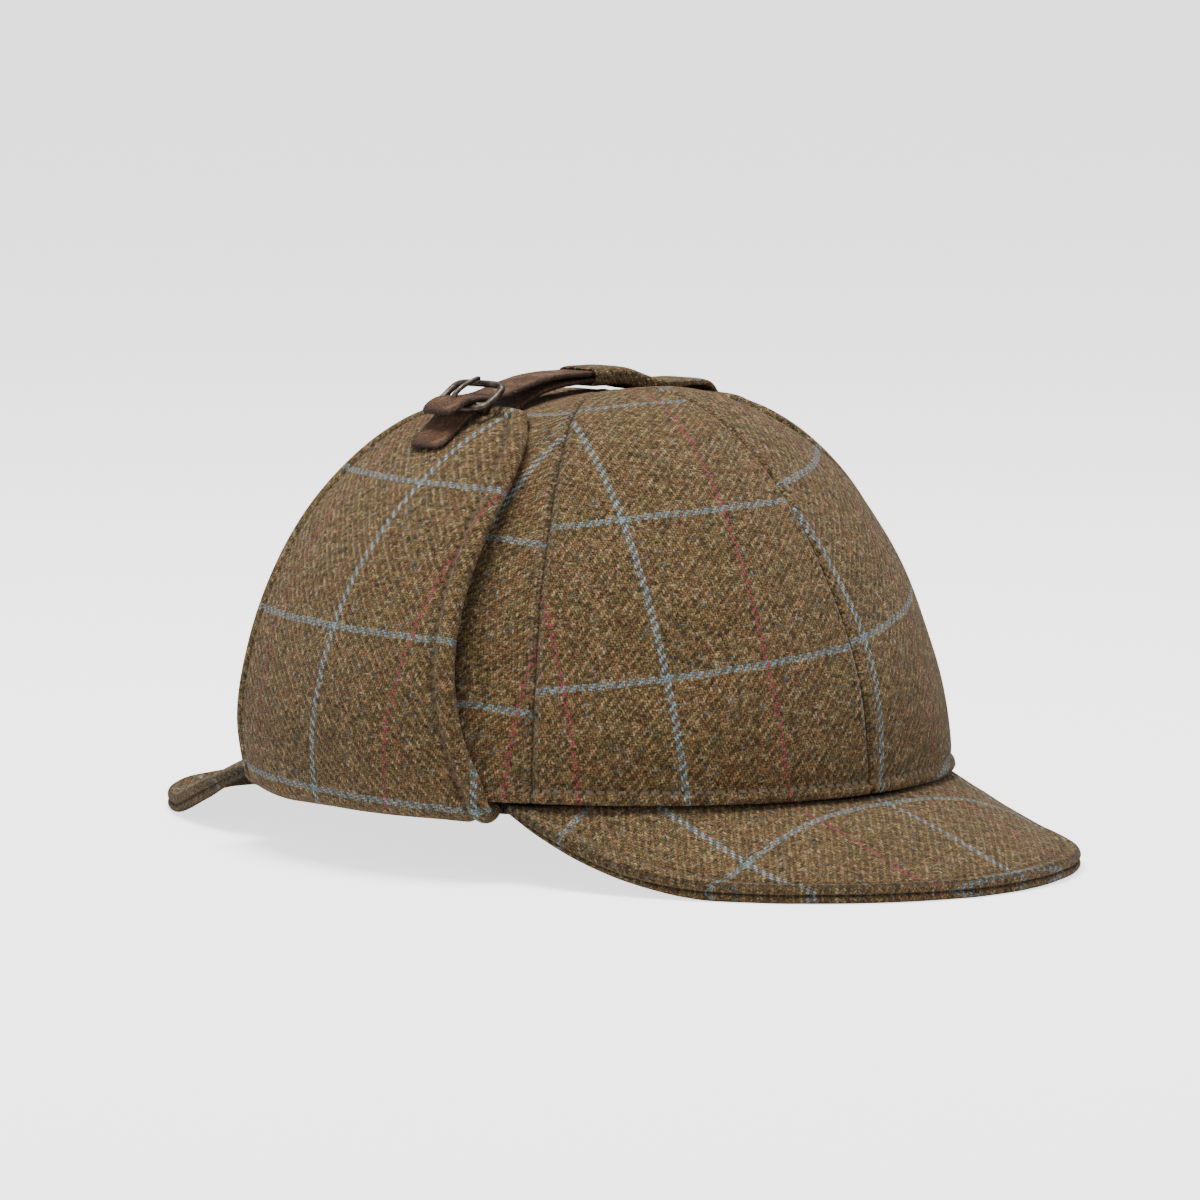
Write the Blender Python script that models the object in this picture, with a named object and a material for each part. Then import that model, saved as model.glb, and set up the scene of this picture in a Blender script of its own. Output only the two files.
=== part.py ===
"""Deerstalker hat: a six-panel tweed crown with two peaks, and two ear flaps turned up and
buckled over the top by a leather strap. It rests on the edges of its peaks.

Metres, +Z up. The front peak points to -Y and the wearer's left is +X.
The origin is on the surface that the hat rests on, under its middle."""
import math

import bmesh
import bpy

# Driving sizes: the head opening, measured inside the sweatband
HEAD_LENGTH = 0.195
HEAD_WIDTH = 0.170
RIM_HEIGHT = 0.0215
CLEARANCE = 0.0003

# The crown, its lining and its sweatband
CROWN_HEIGHT = 0.1090
CROWN_WALL = 0.0030
CROWN_FULLNESS = 2.00
PANEL_COUNT = 6
PANEL_TIP_RADIUS = 0.0026
BAND_HEIGHT = 0.0210
BAND_WALL = 0.0010
LINING_WALL = 0.0008
LINING_GAP = 0.0008

# The dent that the tight strap presses into the top
DENT_DEPTH = 0.0068
DENT_WIDTH = 0.030
DENT_REACH = 0.67
DENT_FADE = 3.0

# The peaks: reach beyond the crown, corners on the rim, droop and stiffened thickness
PEAK_REACH = 0.0515
PEAK_WALL = 0.0032
PEAK_EDGE_WALL = 0.0044
FRONT_CORNER_DEG = 64.0
FRONT_DROOP = 0.0190
FRONT_SIDE_DROOP = 0.0082
BACK_CORNER_DEG = 50.0
BACK_DROOP = 0.0206
BACK_SIDE_DROOP = 0.0054
PEAK_CURL = 1.2
PEAK_EDGE_STARTS = 0.7

# The ear flaps: padded, sewn in along the rim between the peaks and turned up
FLAP_WALL = 0.0045
FLAP_FOLD_DROP = 0.0062
FLAP_STAND_OFF = 0.0062
FLAP_TIP_X = 0.036
FLAP_CORNER_GAP = 0.0020

# The leather strap, its cloth tab and the buckle
STRAP_Y = 0.0065
STRAP_WIDTH = 0.013
STRAP_WALL = 0.0015
STRAP_TAIL = 0.006
STRAP_RISE = 0.0026
LOWER_LAYER_GAP = 0.0024
BUCKLE_TILT_LIFT = 0.0018
TAB_WIDTH = 0.017
TAB_WALL = 0.0018
TAB_MOUTH_X = -0.002
TAB_LAP = 0.012
TAB_SEAT = 0.014
BUCKLE_LENGTH = 0.0115
BUCKLE_CORNER = 0.0025
BUCKLE_WIDTH = 0.019
BUCKLE_BAR_RADIUS = 0.0011
BUCKLE_X = -0.0420
PRONG_RADIUS = 0.0007
CHAPE_LENGTH = 0.013

# The blank label, sewn in where the lining meets the sweatband
LABEL_WIDTH = 0.016
LABEL_HEIGHT = 0.012
LABEL_WALL = 0.0008
LABEL_Y = 0.010

# How far the sweatband stands above the rim
BAND_TOP = BAND_HEIGHT - CLEARANCE - PEAK_WALL

# The buckle's bar and front along the strap, and their height over the flap's outer face
BAR_X = BUCKLE_X - BUCKLE_LENGTH / 2
FRONT_X = BUCKLE_X + BUCKLE_LENGTH / 2
BAR_LIFT = 3 * CLEARANCE + STRAP_WALL + BUCKLE_BAR_RADIUS
OVER_BAR_LIFT = BAR_LIFT + BUCKLE_BAR_RADIUS + CLEARANCE

# Half-axes of the crown's outer face at the rim
CROWN_INSET = BAND_WALL + CLEARANCE + CROWN_WALL
CROWN_HALF_WIDTH = HEAD_WIDTH / 2 + CROWN_INSET
CROWN_HALF_LENGTH = HEAD_LENGTH / 2 + CROWN_INSET

# Facets: each panel and the lining share their corners around the head
PANEL_COLUMNS = 8
PANEL_ROWS = 12
BAND_ROWS = 3
PEAK_COLUMNS = 24
FLAP_COLUMNS = 14
STRAP_COLUMNS = 2
STRAP_STEP = 0.003
LABEL_FACETS = 3
WIRE_FACETS = 2
SOFT_EDGE_DEG = 35

# Rows across a peak, as shares of the way from its root to its outer edge
PEAK_STOPS = (0.0, 0.22, 0.44, 0.66, 0.84, 0.93, 1.0)

# The outer edge of a peak, with its lengths as named above:
# bulge widens the outline beyond its corners, bluntness squares its tip
FRONT_OUTLINE = {"bulge": 0.56, "bluntness": 2.08}
BACK_OUTLINE = {"bulge": 0.08, "bluntness": 1.30}

# The roll of an ear flap under the crown's edge. under: share of the crown's wall that it
# has passed under; drop: share of the fold's depth below the rim, before it turns up
FLAP_FOLD = (
    {"under": 1.0, "drop": 0.85},
    {"under": 0.2, "drop": 1.00},
)
FLAP_FOLD_TURN = 0.55

# Extra rows where the flap turns up, as shares of the way from the rim to the tip
FLAP_TURN_STOPS = (0.02, 0.05)

# Rows up an ear flap. rise: share of the way from the rim to the tip over the crown;
# half: share of the flap's half-width at the rim; forward: share of the way that its
# middle has moved from the middle of its seam to the strap; stand: share of the stand-off
FLAP_ROWS = (
    {"rise": 0.000, "half": 1.000, "forward": 0.00, "stand": 0.00},
    {"rise": 0.100, "half": 0.920, "forward": 0.05, "stand": 0.65},
    {"rise": 0.250, "half": 0.820, "forward": 0.15, "stand": 1.00},
    {"rise": 0.400, "half": 0.765, "forward": 0.30, "stand": 1.00},
    {"rise": 0.550, "half": 0.720, "forward": 0.50, "stand": 0.80},
    {"rise": 0.700, "half": 0.650, "forward": 0.70, "stand": 0.45},
    {"rise": 0.820, "half": 0.545, "forward": 0.85, "stand": 0.20},
    {"rise": 0.910, "half": 0.420, "forward": 0.95, "stand": 0.08},
    {"rise": 0.965, "half": 0.290, "forward": 1.00, "stand": 0.05},
    {"rise": 1.000, "half": 0.140, "forward": 1.00, "stand": 0.05},
)


def clear_scene():
    for old in list(bpy.data.objects):
        bpy.data.objects.remove(old)


def material(name, colour, roughness, metallic=0.0):
    made = bpy.data.materials.new(name)
    made.use_nodes = True
    shader = made.node_tree.nodes["Principled BSDF"]
    shader.inputs["Base Color"].default_value = (*colour, 1.0)
    shader.inputs["Roughness"].default_value = roughness
    shader.inputs["Metallic"].default_value = metallic
    return made


def blend(a, b, share):
    return a + (b - a) * share


def ease(share):
    share = min(max(share, 0.0), 1.0)
    return share * share * (3 - 2 * share)


def between(rows, key, share, column):
    """Read a column of a table at a share between its rows, in straight lines."""
    for low, high in zip(rows, rows[1:]):
        if share <= high[key]:
            local = (share - low[key]) / (high[key] - low[key])
            return blend(low[column], high[column], local)
    return rows[-1][column]


def dent(x, y):
    """How far the strap presses the top of the crown in at a place in plan."""
    reach = math.hypot(x / CROWN_HALF_WIDTH, y / CROWN_HALF_LENGTH)
    across = math.exp(-((y - STRAP_Y) / DENT_WIDTH) ** 2)
    inward = max(0.0, 1 - (reach / DENT_REACH) ** 2)
    return DENT_DEPTH * across * inward ** (DENT_FADE / 2)


def crown_height_at(x, y):
    """Height of the crown's outer face over a place in plan."""
    radius = math.hypot(x / CROWN_HALF_WIDTH, y / CROWN_HALF_LENGTH)
    rest = max(0.0, 1 - min(radius, 1.0) ** CROWN_FULLNESS)
    return RIM_HEIGHT + CROWN_HEIGHT * rest ** (1 / CROWN_FULLNESS) - dent(x, y)


def crown_point(angle, rise, out=0.0):
    """A point out metres outside the crown: angle 0 is the front, 90 degrees the wearer's
    left, and rise goes from 0 at the rim to 1 at the top."""
    quarter = rise * math.pi / 2
    radius = max(0.0, math.cos(quarter)) ** (2 / CROWN_FULLNESS)
    x = (CROWN_HALF_WIDTH + out) * radius * math.sin(angle)
    y = -(CROWN_HALF_LENGTH + out) * radius * math.cos(angle)
    up = (CROWN_HEIGHT + out) * math.sin(quarter) ** (2 / CROWN_FULLNESS)
    return (x, y, RIM_HEIGHT + up - dent(x, y))


def rise_at_radius(radius):
    """The rise at which the crown's plan radius has shrunk to this share."""
    return math.acos(radius ** (CROWN_FULLNESS / 2)) * 2 / math.pi


def finish(name, mesh_data, look):
    thing = bpy.data.objects.new(name, mesh_data)
    bpy.context.scene.collection.objects.link(thing)
    thing.data.materials.append(look)


def sheet_solid(name, columns, rows, place, look, ring=False, dome=False):
    """A closed sheet: a grid extruded once, each corner put where place(u, v, depth) says.
    u runs along the columns and v up the rows, both 0 to 1; depth is 0 on the outer
    face and 1 on the inner one. A ring's ends are welded, and so is a dome's top."""
    bm = bmesh.new()
    bmesh.ops.create_grid(bm, x_segments=columns, y_segments=rows, size=0.5)
    made = bmesh.ops.extrude_face_region(bm, geom=bm.faces[:])
    inner = {item for item in made["geom"] if isinstance(item, bmesh.types.BMVert)}
    where = {corner: (corner.co.x + 0.5, corner.co.y + 0.5) for corner in bm.verts}
    if ring:
        ends = [face for face in bm.faces
                if all(where[c][0] < 1e-4 for c in face.verts)
                or all(where[c][0] > 1 - 1e-4 for c in face.verts)
                or (dome and all(where[c][1] > 1 - 1e-4 for c in face.verts))]
        bmesh.ops.delete(bm, geom=ends, context="FACES")
    for corner, (u, v) in where.items():
        corner.co = place(u, v, 1 if corner in inner else 0)
    if ring:
        bmesh.ops.remove_doubles(bm, verts=bm.verts[:], dist=1e-6)
    bm.normal_update()
    bmesh.ops.recalc_face_normals(bm, faces=bm.faces[:])
    mesh_data = bpy.data.meshes.new(name)
    bm.to_mesh(mesh_data)
    bm.free()
    mesh_data.shade_smooth()
    mesh_data.set_sharp_from_angle(angle=math.radians(SOFT_EDGE_DEG))
    finish(name, mesh_data, look)


def bent_wire(name, points, radius, look, cyclic=False):
    """A round wire through the points, with closed ends."""
    curve = bpy.data.curves.new(name, "CURVE")
    curve.dimensions = "3D"
    curve.bevel_depth = radius
    curve.bevel_resolution = WIRE_FACETS
    curve.use_fill_caps = True
    spline = curve.splines.new("POLY")
    spline.points.add(len(points) - 1)
    for target, point in zip(spline.points, points):
        target.co = (*point, 1.0)
    spline.use_cyclic_u = cyclic
    finish(name, curve, look)


def build_crown(tweed):
    """Six sewn panels that meet at the front, the back and at 60 degrees between."""
    step = 2 * math.pi / PANEL_COUNT
    top = rise_at_radius(PANEL_TIP_RADIUS / CROWN_HALF_WIDTH)
    for number in range(PANEL_COUNT):
        def place(u, v, depth, number=number):
            rise = v * top
            radius = max(math.cos(rise * math.pi / 2), 1e-6) ** (2 / CROWN_FULLNESS)
            seam = math.asin(CLEARANCE / 2 / (radius * CROWN_HALF_WIDTH))
            angle = number * step + blend(seam, step - seam, u)
            return crown_point(angle, rise, -depth * CROWN_WALL)
        sheet_solid(f"crown_panel_{number + 1}", PANEL_COLUMNS, PANEL_ROWS, place, tweed)


def build_lining(mesh_cloth):
    """A thin mesh dome, from the top of the sweatband up, close under the crown."""
    height = CROWN_HEIGHT - CROWN_WALL - LINING_GAP - LINING_WALL
    start = 2 / math.pi * math.asin(((BAND_TOP + CLEARANCE) / height) ** (CROWN_FULLNESS / 2))

    def place(u, v, depth):
        out = -CROWN_WALL - LINING_GAP - depth * LINING_WALL
        return crown_point(u * 2 * math.pi, blend(start, 1.0, v), out)
    sheet_solid("lining", PANEL_COUNT * PANEL_COLUMNS, PANEL_ROWS, place, mesh_cloth,
                ring=True, dome=True)


def build_sweatband(ribbed):
    """A ribbed band inside the rim, its lower edge flush with the underside of the peaks."""
    low = RIM_HEIGHT - CLEARANCE - PEAK_WALL
    high = RIM_HEIGHT + BAND_TOP

    def place(u, v, depth):
        height = blend(low, high, v)
        rise = max(height - RIM_HEIGHT, 0.0) / CROWN_HEIGHT
        lean = (1 - rise ** CROWN_FULLNESS) ** (1 / CROWN_FULLNESS)
        angle = u * 2 * math.pi
        x = (HEAD_WIDTH / 2 + (1 - depth) * BAND_WALL) * lean * math.sin(angle)
        y = -(HEAD_LENGTH / 2 + (1 - depth) * BAND_WALL) * lean * math.cos(angle)
        return (x, y, height)
    sheet_solid("sweatband", PANEL_COUNT * PANEL_COLUMNS, BAND_ROWS, place, ribbed, ring=True)


def peak_edge(turn, side, corner, outline, droop, side_droop):
    """The middle of a peak's outer edge. turn runs from -90 to 90 degrees, corner to corner."""
    corner_x = CROWN_HALF_WIDTH * math.sin(corner)
    corner_y = CROWN_HALF_LENGTH * math.cos(corner)
    swell = max(math.cos(turn), 0.0) ** outline["bluntness"]
    x = corner_x * math.sin(turn) * (1 + outline["bulge"] * math.cos(turn) ** 2)
    y = corner_y + (CROWN_HALF_LENGTH + PEAK_REACH - corner_y) * swell
    fall = droop * swell + side_droop * math.sin(2 * turn) ** 2
    return (x, side * y, RIM_HEIGHT - CLEARANCE - PEAK_WALL / 2 - fall)


def build_peak(name, side, corner_deg, outline, droop, side_droop, tweed):
    """A stiffened, drooping peak from under the crown's edge to a rolled outer edge. Where it
    rests on the surface, its underside is level. side is -1 at the front, 1 at the back."""
    corner = math.radians(corner_deg)
    root_half_width = HEAD_WIDTH / 2 + BAND_WALL + CLEARANCE
    root_half_length = HEAD_LENGTH / 2 + BAND_WALL + CLEARANCE

    def middle(turn, reach):
        at = corner * turn / (math.pi / 2)
        edge = peak_edge(turn, side, corner, outline, droop, side_droop)
        root_x = root_half_width * math.sin(at)
        root_y = side * root_half_length * math.cos(at)
        root_z = RIM_HEIGHT - CLEARANCE - PEAK_WALL / 2
        return (blend(root_x, edge[0], reach), blend(root_y, edge[1], reach),
                blend(root_z, edge[2], reach ** PEAK_CURL))

    def place(u, v, depth):
        turn = blend(-math.pi / 2, math.pi / 2, u)
        reach = PEAK_STOPS[round(v * (len(PEAK_STOPS) - 1))]
        x, y, z = middle(turn, reach)
        towards_edge = (reach - PEAK_EDGE_STARTS) / (1 - PEAK_EDGE_STARTS)
        wall = blend(PEAK_WALL, PEAK_EDGE_WALL, ease(towards_edge))
        return (x, y, max(z + (0.5 - depth) * wall, 0.0))
    sheet_solid(name, PEAK_COLUMNS, len(PEAK_STOPS) - 1, place, tweed)


def flap_section(v):
    """Half-width, middle and stand-off of an ear flap at a share up its length."""
    seam_front = FLAP_CORNER_GAP - CROWN_HALF_LENGTH * math.cos(math.radians(FRONT_CORNER_DEG))
    seam_back = CROWN_HALF_LENGTH * math.cos(math.radians(BACK_CORNER_DEG)) - FLAP_CORNER_GAP
    half = (seam_back - seam_front) / 2 * between(FLAP_ROWS, "rise", v, "half")
    middle = blend((seam_back + seam_front) / 2, STRAP_Y, between(FLAP_ROWS, "rise", v, "forward"))
    stand = CLEARANCE + FLAP_STAND_OFF * between(FLAP_ROWS, "rise", v, "stand")
    return half, middle, stand


def flap_face(share, y, depth):
    """Where an ear flap's face lies out and up, at a share up its length and a place y along
    it. depth is 0 on the outer face and 1 on the one towards the crown."""
    out = flap_section(share)[2] + FLAP_WALL * (1 - depth)
    quarter = share * rise_at_radius(FLAP_TIP_X / CROWN_HALF_WIDTH) * math.pi / 2
    radius = math.cos(quarter) ** (2 / CROWN_FULLNESS)
    across = y / ((CROWN_HALF_LENGTH + out) * radius)
    x = (CROWN_HALF_WIDTH + out) * radius * math.sqrt(max(1 - across * across, 0.0))
    up = (CROWN_HEIGHT + out) * math.sin(quarter) ** (2 / CROWN_FULLNESS)
    return (x, RIM_HEIGHT + up - dent(x, y))


def build_flap(name, side, tweed):
    """An ear flap: padded cloth sewn in under the crown's edge, rolled round it and turned up
    to a rounded tip near the top. side is -1 on the wearer's right, 1 on the left."""
    shares = [row["rise"] for row in FLAP_ROWS]
    shares[1:1] = FLAP_TURN_STOPS
    total = len(FLAP_FOLD) + len(shares)

    def place(u, v, depth):
        row = round(v * (total - 1))
        share = shares[max(row - len(FLAP_FOLD), 0)]
        half, middle, stand = flap_section(share)
        y = middle + half * (2 * u - 1)
        if row < len(FLAP_FOLD):
            fold = FLAP_FOLD[row]
            out = CLEARANCE - CROWN_WALL * fold["under"]
            x = (CROWN_HALF_WIDTH + out) * math.sqrt(1 - (y / (CROWN_HALF_LENGTH + out)) ** 2)
            fall = FLAP_FOLD_DROP * fold["drop"] * (1 - depth)
            return (side * x, y, RIM_HEIGHT - CLEARANCE - fall)
        x, z = flap_face(share, y, depth)
        if row == len(FLAP_FOLD):
            z -= CLEARANCE + FLAP_FOLD_DROP * FLAP_FOLD_TURN * (1 - depth)
        return (side * x, y, z)
    sheet_solid(name, FLAP_COLUMNS, total - 1, place, tweed)


def along_profile(profile, where, lift):
    """A point on a profile of (x, z) places, moved lift metres off it, outwards and up."""
    small = 1e-4
    x0, z0 = profile(where - small)
    x1, z1 = profile(where + small)
    length = math.hypot(x1 - x0, z1 - z0)
    turn = math.copysign(lift / length, x1 - x0)
    x, z = profile(where)
    return (x - (z1 - z0) * turn, STRAP_Y, z + (x1 - x0) * turn)


def over_crown(x, lift):
    """A point lift metres off the crown on the strap's middle line."""
    return along_profile(lambda at: (at, crown_height_at(at, STRAP_Y)), x, lift)


def over_flap(x, lift):
    """A point lift metres off the outer face of the ear flap under x, on the same line."""
    side = math.copysign(1.0, x)

    def face(share):
        flap_x, flap_z = flap_face(share, STRAP_Y, 0.0)
        return (side * flap_x, flap_z)
    low = 0.0
    high = 1.0
    for _ in range(40):
        middle = (low + high) / 2
        if abs(face(middle)[0]) > abs(x):
            low = middle
        else:
            high = middle
    return along_profile(face, low, lift)


def smooth_path(points):
    """Points about a step apart on a smooth curve through the given ones, in their plane."""
    ends = [points[0], *points, points[-1]]
    path = []
    for before, start, end, after in zip(ends, ends[1:], ends[2:], ends[3:]):
        count = max(1, math.ceil(math.dist(start, end) / STRAP_STEP))
        for index in range(count):
            t = index / count
            path.append(tuple(
                0.5 * (2 * q + (r - p) * t + (2 * p - 5 * q + 4 * r - s) * t * t
                       + (3 * q - p - 3 * r + s) * t ** 3)
                for p, q, r, s in zip(before, start, end, after)))
    path.append(points[-1])
    return path


def band_solid(name, path, width, wall, look):
    """A flat band along a path from -X to +X in a plane across the hat, wall thick outwards."""
    last = len(path) - 1

    def place(u, v, depth):
        index = round(v * last)
        before = path[max(index - 1, 0)]
        after = path[min(index + 1, last)]
        run = (after[0] - before[0], after[2] - before[2])
        length = math.hypot(*run)
        off = wall * (1 - depth) / length
        x, y, z = path[index]
        return (x - run[1] * off, y + width * (u - 0.5), z + run[0] * off)
    sheet_solid(name, STRAP_COLUMNS, last, place, look)


def build_strap(leather):
    """The strap comes out of the tab doubled: its lower layer ends short of the right flap,
    and its upper one passes under the buckle's front, over its bar and on to a short tail."""
    inside_tab = TAB_MOUTH_X + TAB_LAP
    bridge_x = (TAB_MOUTH_X - FLAP_TIP_X) / 2
    next_layer = STRAP_WALL + CLEARANCE
    lower = [
        over_crown(LOWER_LAYER_GAP - FLAP_TIP_X, 2 * CLEARANCE),
        over_crown(bridge_x, STRAP_RISE),
        over_crown(TAB_MOUTH_X, STRAP_RISE),
        over_crown(inside_tab, STRAP_RISE),
    ]
    upper = [
        over_flap(BAR_X - STRAP_TAIL, OVER_BAR_LIFT + CLEARANCE),
        over_flap(BAR_X, OVER_BAR_LIFT),
        over_flap(FRONT_X, 2 * CLEARANCE),
        over_crown(bridge_x, STRAP_RISE + next_layer + 3 * CLEARANCE),
        over_crown(TAB_MOUTH_X, STRAP_RISE + next_layer),
        over_crown(inside_tab, STRAP_RISE + next_layer),
    ]
    band_solid("strap_lower_layer", smooth_path(lower), STRAP_WIDTH, STRAP_WALL, leather)
    band_solid("strap", smooth_path(upper), STRAP_WIDTH, STRAP_WALL, leather)


def build_tab(tweed):
    """A cloth tab on the left flap's tip, whose mouth at the top of the crown holds the strap."""
    layers = STRAP_RISE + 2 * (STRAP_WALL + CLEARANCE)
    route = [
        over_crown(TAB_MOUTH_X, layers),
        over_crown(TAB_MOUTH_X + TAB_LAP, layers),
        over_flap(FLAP_TIP_X + TAB_SEAT / 4, 4 * CLEARANCE),
        over_flap(FLAP_TIP_X + TAB_SEAT / 2, 2 * CLEARANCE),
        over_flap(FLAP_TIP_X + TAB_SEAT, 2 * CLEARANCE),
    ]
    band_solid("strap_tab", smooth_path(route), TAB_WIDTH, TAB_WALL, tweed)


def build_buckle(metal):
    """A wire frame across the strap, and a prong that lies over the strap and on the front."""
    bar = over_flap(BAR_X, BAR_LIFT)
    front = over_flap(FRONT_X, BAR_LIFT + BUCKLE_TILT_LIFT)
    length = math.dist(bar, front)
    points = []
    for start_deg, along, across in ((180, 0, -1), (270, 1, -1), (0, 1, 1), (90, 0, 1)):
        inset = BUCKLE_CORNER if along == 0 else -BUCKLE_CORNER
        for turn_deg in (0, 30, 60, 90):
            angle = math.radians(start_deg + turn_deg)
            run = along * length + inset + BUCKLE_CORNER * math.cos(angle)
            aside = across * (BUCKLE_WIDTH / 2 - BUCKLE_CORNER) + BUCKLE_CORNER * math.sin(angle)
            share = run / length
            points.append((blend(bar[0], front[0], share), STRAP_Y + aside,
                           blend(bar[2], front[2], share)))
    bent_wire("buckle_frame", points, BUCKLE_BAR_RADIUS, metal, cyclic=True)
    foot = over_flap(BAR_X, OVER_BAR_LIFT + STRAP_WALL + PRONG_RADIUS + 2 * CLEARANCE)
    rest = over_flap(FRONT_X, BAR_LIFT + BUCKLE_TILT_LIFT + BUCKLE_BAR_RADIUS + PRONG_RADIUS
                     + CLEARANCE)
    bent_wire("buckle_prong", [foot, rest], PRONG_RADIUS, metal)


def build_chape(leather):
    """A short leather tongue sewn on the right flap, which holds the buckle's bar."""
    route = [
        over_flap(BAR_X - CHAPE_LENGTH, CLEARANCE),
        over_flap(BAR_X - CHAPE_LENGTH / 2, CLEARANCE),
        over_flap(BAR_X + BUCKLE_BAR_RADIUS, CLEARANCE),
    ]
    band_solid("chape", smooth_path(route), STRAP_WIDTH, STRAP_WALL, leather)


def build_label(cloth):
    """A small blank label, standing up from the sweatband along the lining."""
    inside = -CROWN_WALL - LINING_GAP - LINING_WALL - CLEARANCE
    low = BAND_TOP + 2 * CLEARANCE

    def place(u, v, depth):
        y = LABEL_Y + LABEL_WIDTH * (u - 0.5)
        out = inside - depth * LABEL_WALL
        rise = (low + LABEL_HEIGHT * v) / (CROWN_HEIGHT + inside)
        lean = (1 - rise ** CROWN_FULLNESS) ** (1 / CROWN_FULLNESS)
        across = y / ((CROWN_HALF_LENGTH + out) * lean)
        x = (CROWN_HALF_WIDTH + out) * lean * math.sqrt(1 - across * across)
        return (x, y, RIM_HEIGHT + low + LABEL_HEIGHT * v)
    sheet_solid("label", LABEL_FACETS, LABEL_FACETS, place, cloth)


def build_hat():
    tweed = material("tweed", (0.105, 0.072, 0.040), 0.95)
    mesh_cloth = material("mesh lining", (0.012, 0.012, 0.012), 0.85)
    ribbed = material("ribbed band", (0.008, 0.008, 0.008), 0.80)
    leather = material("leather", (0.090, 0.035, 0.020), 0.55)
    metal = material("old bronze", (0.110, 0.085, 0.070), 0.40, 0.9)
    white = material("label cloth", (0.42, 0.42, 0.43), 0.80)
    build_crown(tweed)
    build_lining(mesh_cloth)
    build_sweatband(ribbed)
    build_label(white)
    build_peak("front_peak", -1, FRONT_CORNER_DEG, FRONT_OUTLINE, FRONT_DROOP,
               FRONT_SIDE_DROOP, tweed)
    build_peak("back_peak", 1, BACK_CORNER_DEG, BACK_OUTLINE, BACK_DROOP,
               BACK_SIDE_DROOP, tweed)
    build_flap("ear_flap_right", -1, tweed)
    build_flap("ear_flap_left", 1, tweed)
    build_strap(leather)
    build_tab(tweed)
    build_buckle(metal)
    build_chape(leather)


clear_scene()
build_hat()
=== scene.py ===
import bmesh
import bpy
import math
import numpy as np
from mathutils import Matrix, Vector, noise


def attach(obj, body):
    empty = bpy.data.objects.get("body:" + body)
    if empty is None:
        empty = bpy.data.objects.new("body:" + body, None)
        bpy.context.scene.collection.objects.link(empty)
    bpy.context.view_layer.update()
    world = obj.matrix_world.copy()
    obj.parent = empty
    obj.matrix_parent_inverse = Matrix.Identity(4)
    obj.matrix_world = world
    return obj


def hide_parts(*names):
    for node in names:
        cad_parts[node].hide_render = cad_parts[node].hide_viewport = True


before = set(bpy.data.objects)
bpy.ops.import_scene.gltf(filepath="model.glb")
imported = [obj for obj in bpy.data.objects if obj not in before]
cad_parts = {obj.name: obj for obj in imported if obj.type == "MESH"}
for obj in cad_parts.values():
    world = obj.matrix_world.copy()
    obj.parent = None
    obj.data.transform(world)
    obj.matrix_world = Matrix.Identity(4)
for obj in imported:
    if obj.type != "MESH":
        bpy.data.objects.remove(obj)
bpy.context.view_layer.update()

# %% [markdown]
# # A tweed deerstalker
# This hat is a round crown of six sewn panels, two stiff peaks and two padded ear flaps,
# which are turned up and buckled over the top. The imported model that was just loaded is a
# set of plain solids of the right size. Each one is replaced here by a piece that looks
# like cloth, leather or metal and keeps its place. First come the sizes and small tools
# that every piece needs.

HEAD_WIDTH, HEAD_LENGTH, RIM = 0.170, 0.195, 0.0215
CROWN_HALF_WIDTH, CROWN_HALF_LENGTH, CROWN_HEIGHT = 0.0893, 0.1018, 0.1090
CROWN_WALL, CLEARANCE = 0.0030, 0.0003
DENT_DEPTH, DENT_WIDTH, DENT_REACH = 0.0068, 0.030, 0.67
STRAP_Y = 0.0065
GORE_TURN = math.pi / 3


# %% Shapes that every piece follows
def blend(a, b, share):
    return a + (b - a) * share


def ease(share):
    share = min(max(share, 0.0), 1.0)
    return share * share * (3 - 2 * share)


def bump_at(distance, place, width):
    """A soft bump, 1 high where distance is place and gone about two widths away."""
    return np.exp(-((distance - place) / width) ** 2)


def rolled(distance, width):
    """A quarter round: 0 on an edge, and 1 from width inwards."""
    return np.sqrt(np.clip(1 - (1 - np.clip(distance / width, 0, 1)) ** 2, 0, 1))


def rounded_square(c, s, power):
    """How far a rounded square lies out in the direction whose cosine and sine are given."""
    return (abs(c) ** power + abs(s) ** power) ** (-1 / power)


def dent(x, y):
    """How far the tight strap presses the top of the crown in."""
    reach = math.hypot(x / CROWN_HALF_WIDTH, y / CROWN_HALF_LENGTH)
    inward = max(0.0, 1 - (reach / DENT_REACH) ** 2)
    return DENT_DEPTH * math.exp(-((y - STRAP_Y) / DENT_WIDTH) ** 2) * inward ** 1.5


def crown_point(angle, rise, out=0.0):
    """A place out metres off the crown: angle 0 is the front, rise 1 the very top."""
    quarter = rise * math.pi / 2
    x = (CROWN_HALF_WIDTH + out) * math.cos(quarter) * math.sin(angle)
    y = -(CROWN_HALF_LENGTH + out) * math.cos(quarter) * math.cos(angle)
    return (x, y, RIM + (CROWN_HEIGHT + out) * math.sin(quarter) - dent(x, y))


def off_crown(points):
    """The direction off the crown's dome, at each of a grid of points."""
    half_sizes = np.array((CROWN_HALF_WIDTH, CROWN_HALF_LENGTH, CROWN_HEIGHT))
    off = (points - np.array((0, 0, RIM))) / half_sizes ** 2
    return off / np.linalg.norm(off, axis=2, keepdims=True)


def soft_curve(stops, share):
    """A smooth curve through evenly spaced stops, read at a share of its length."""
    stops = np.asarray(stops, float)
    where = min(max(share, 0.0), 1.0) * (len(stops) - 1)
    index = min(int(where), len(stops) - 2)
    t = where - index
    p = stops[max(index - 1, 0)]
    q, r = stops[index], stops[index + 1]
    s = stops[min(index + 2, len(stops) - 1)]
    return 0.5 * (2 * q + (r - p) * t + (2 * p - 5 * q + 4 * r - s) * t * t
                  + (3 * q - p - 3 * r + s) * t ** 3)


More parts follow.
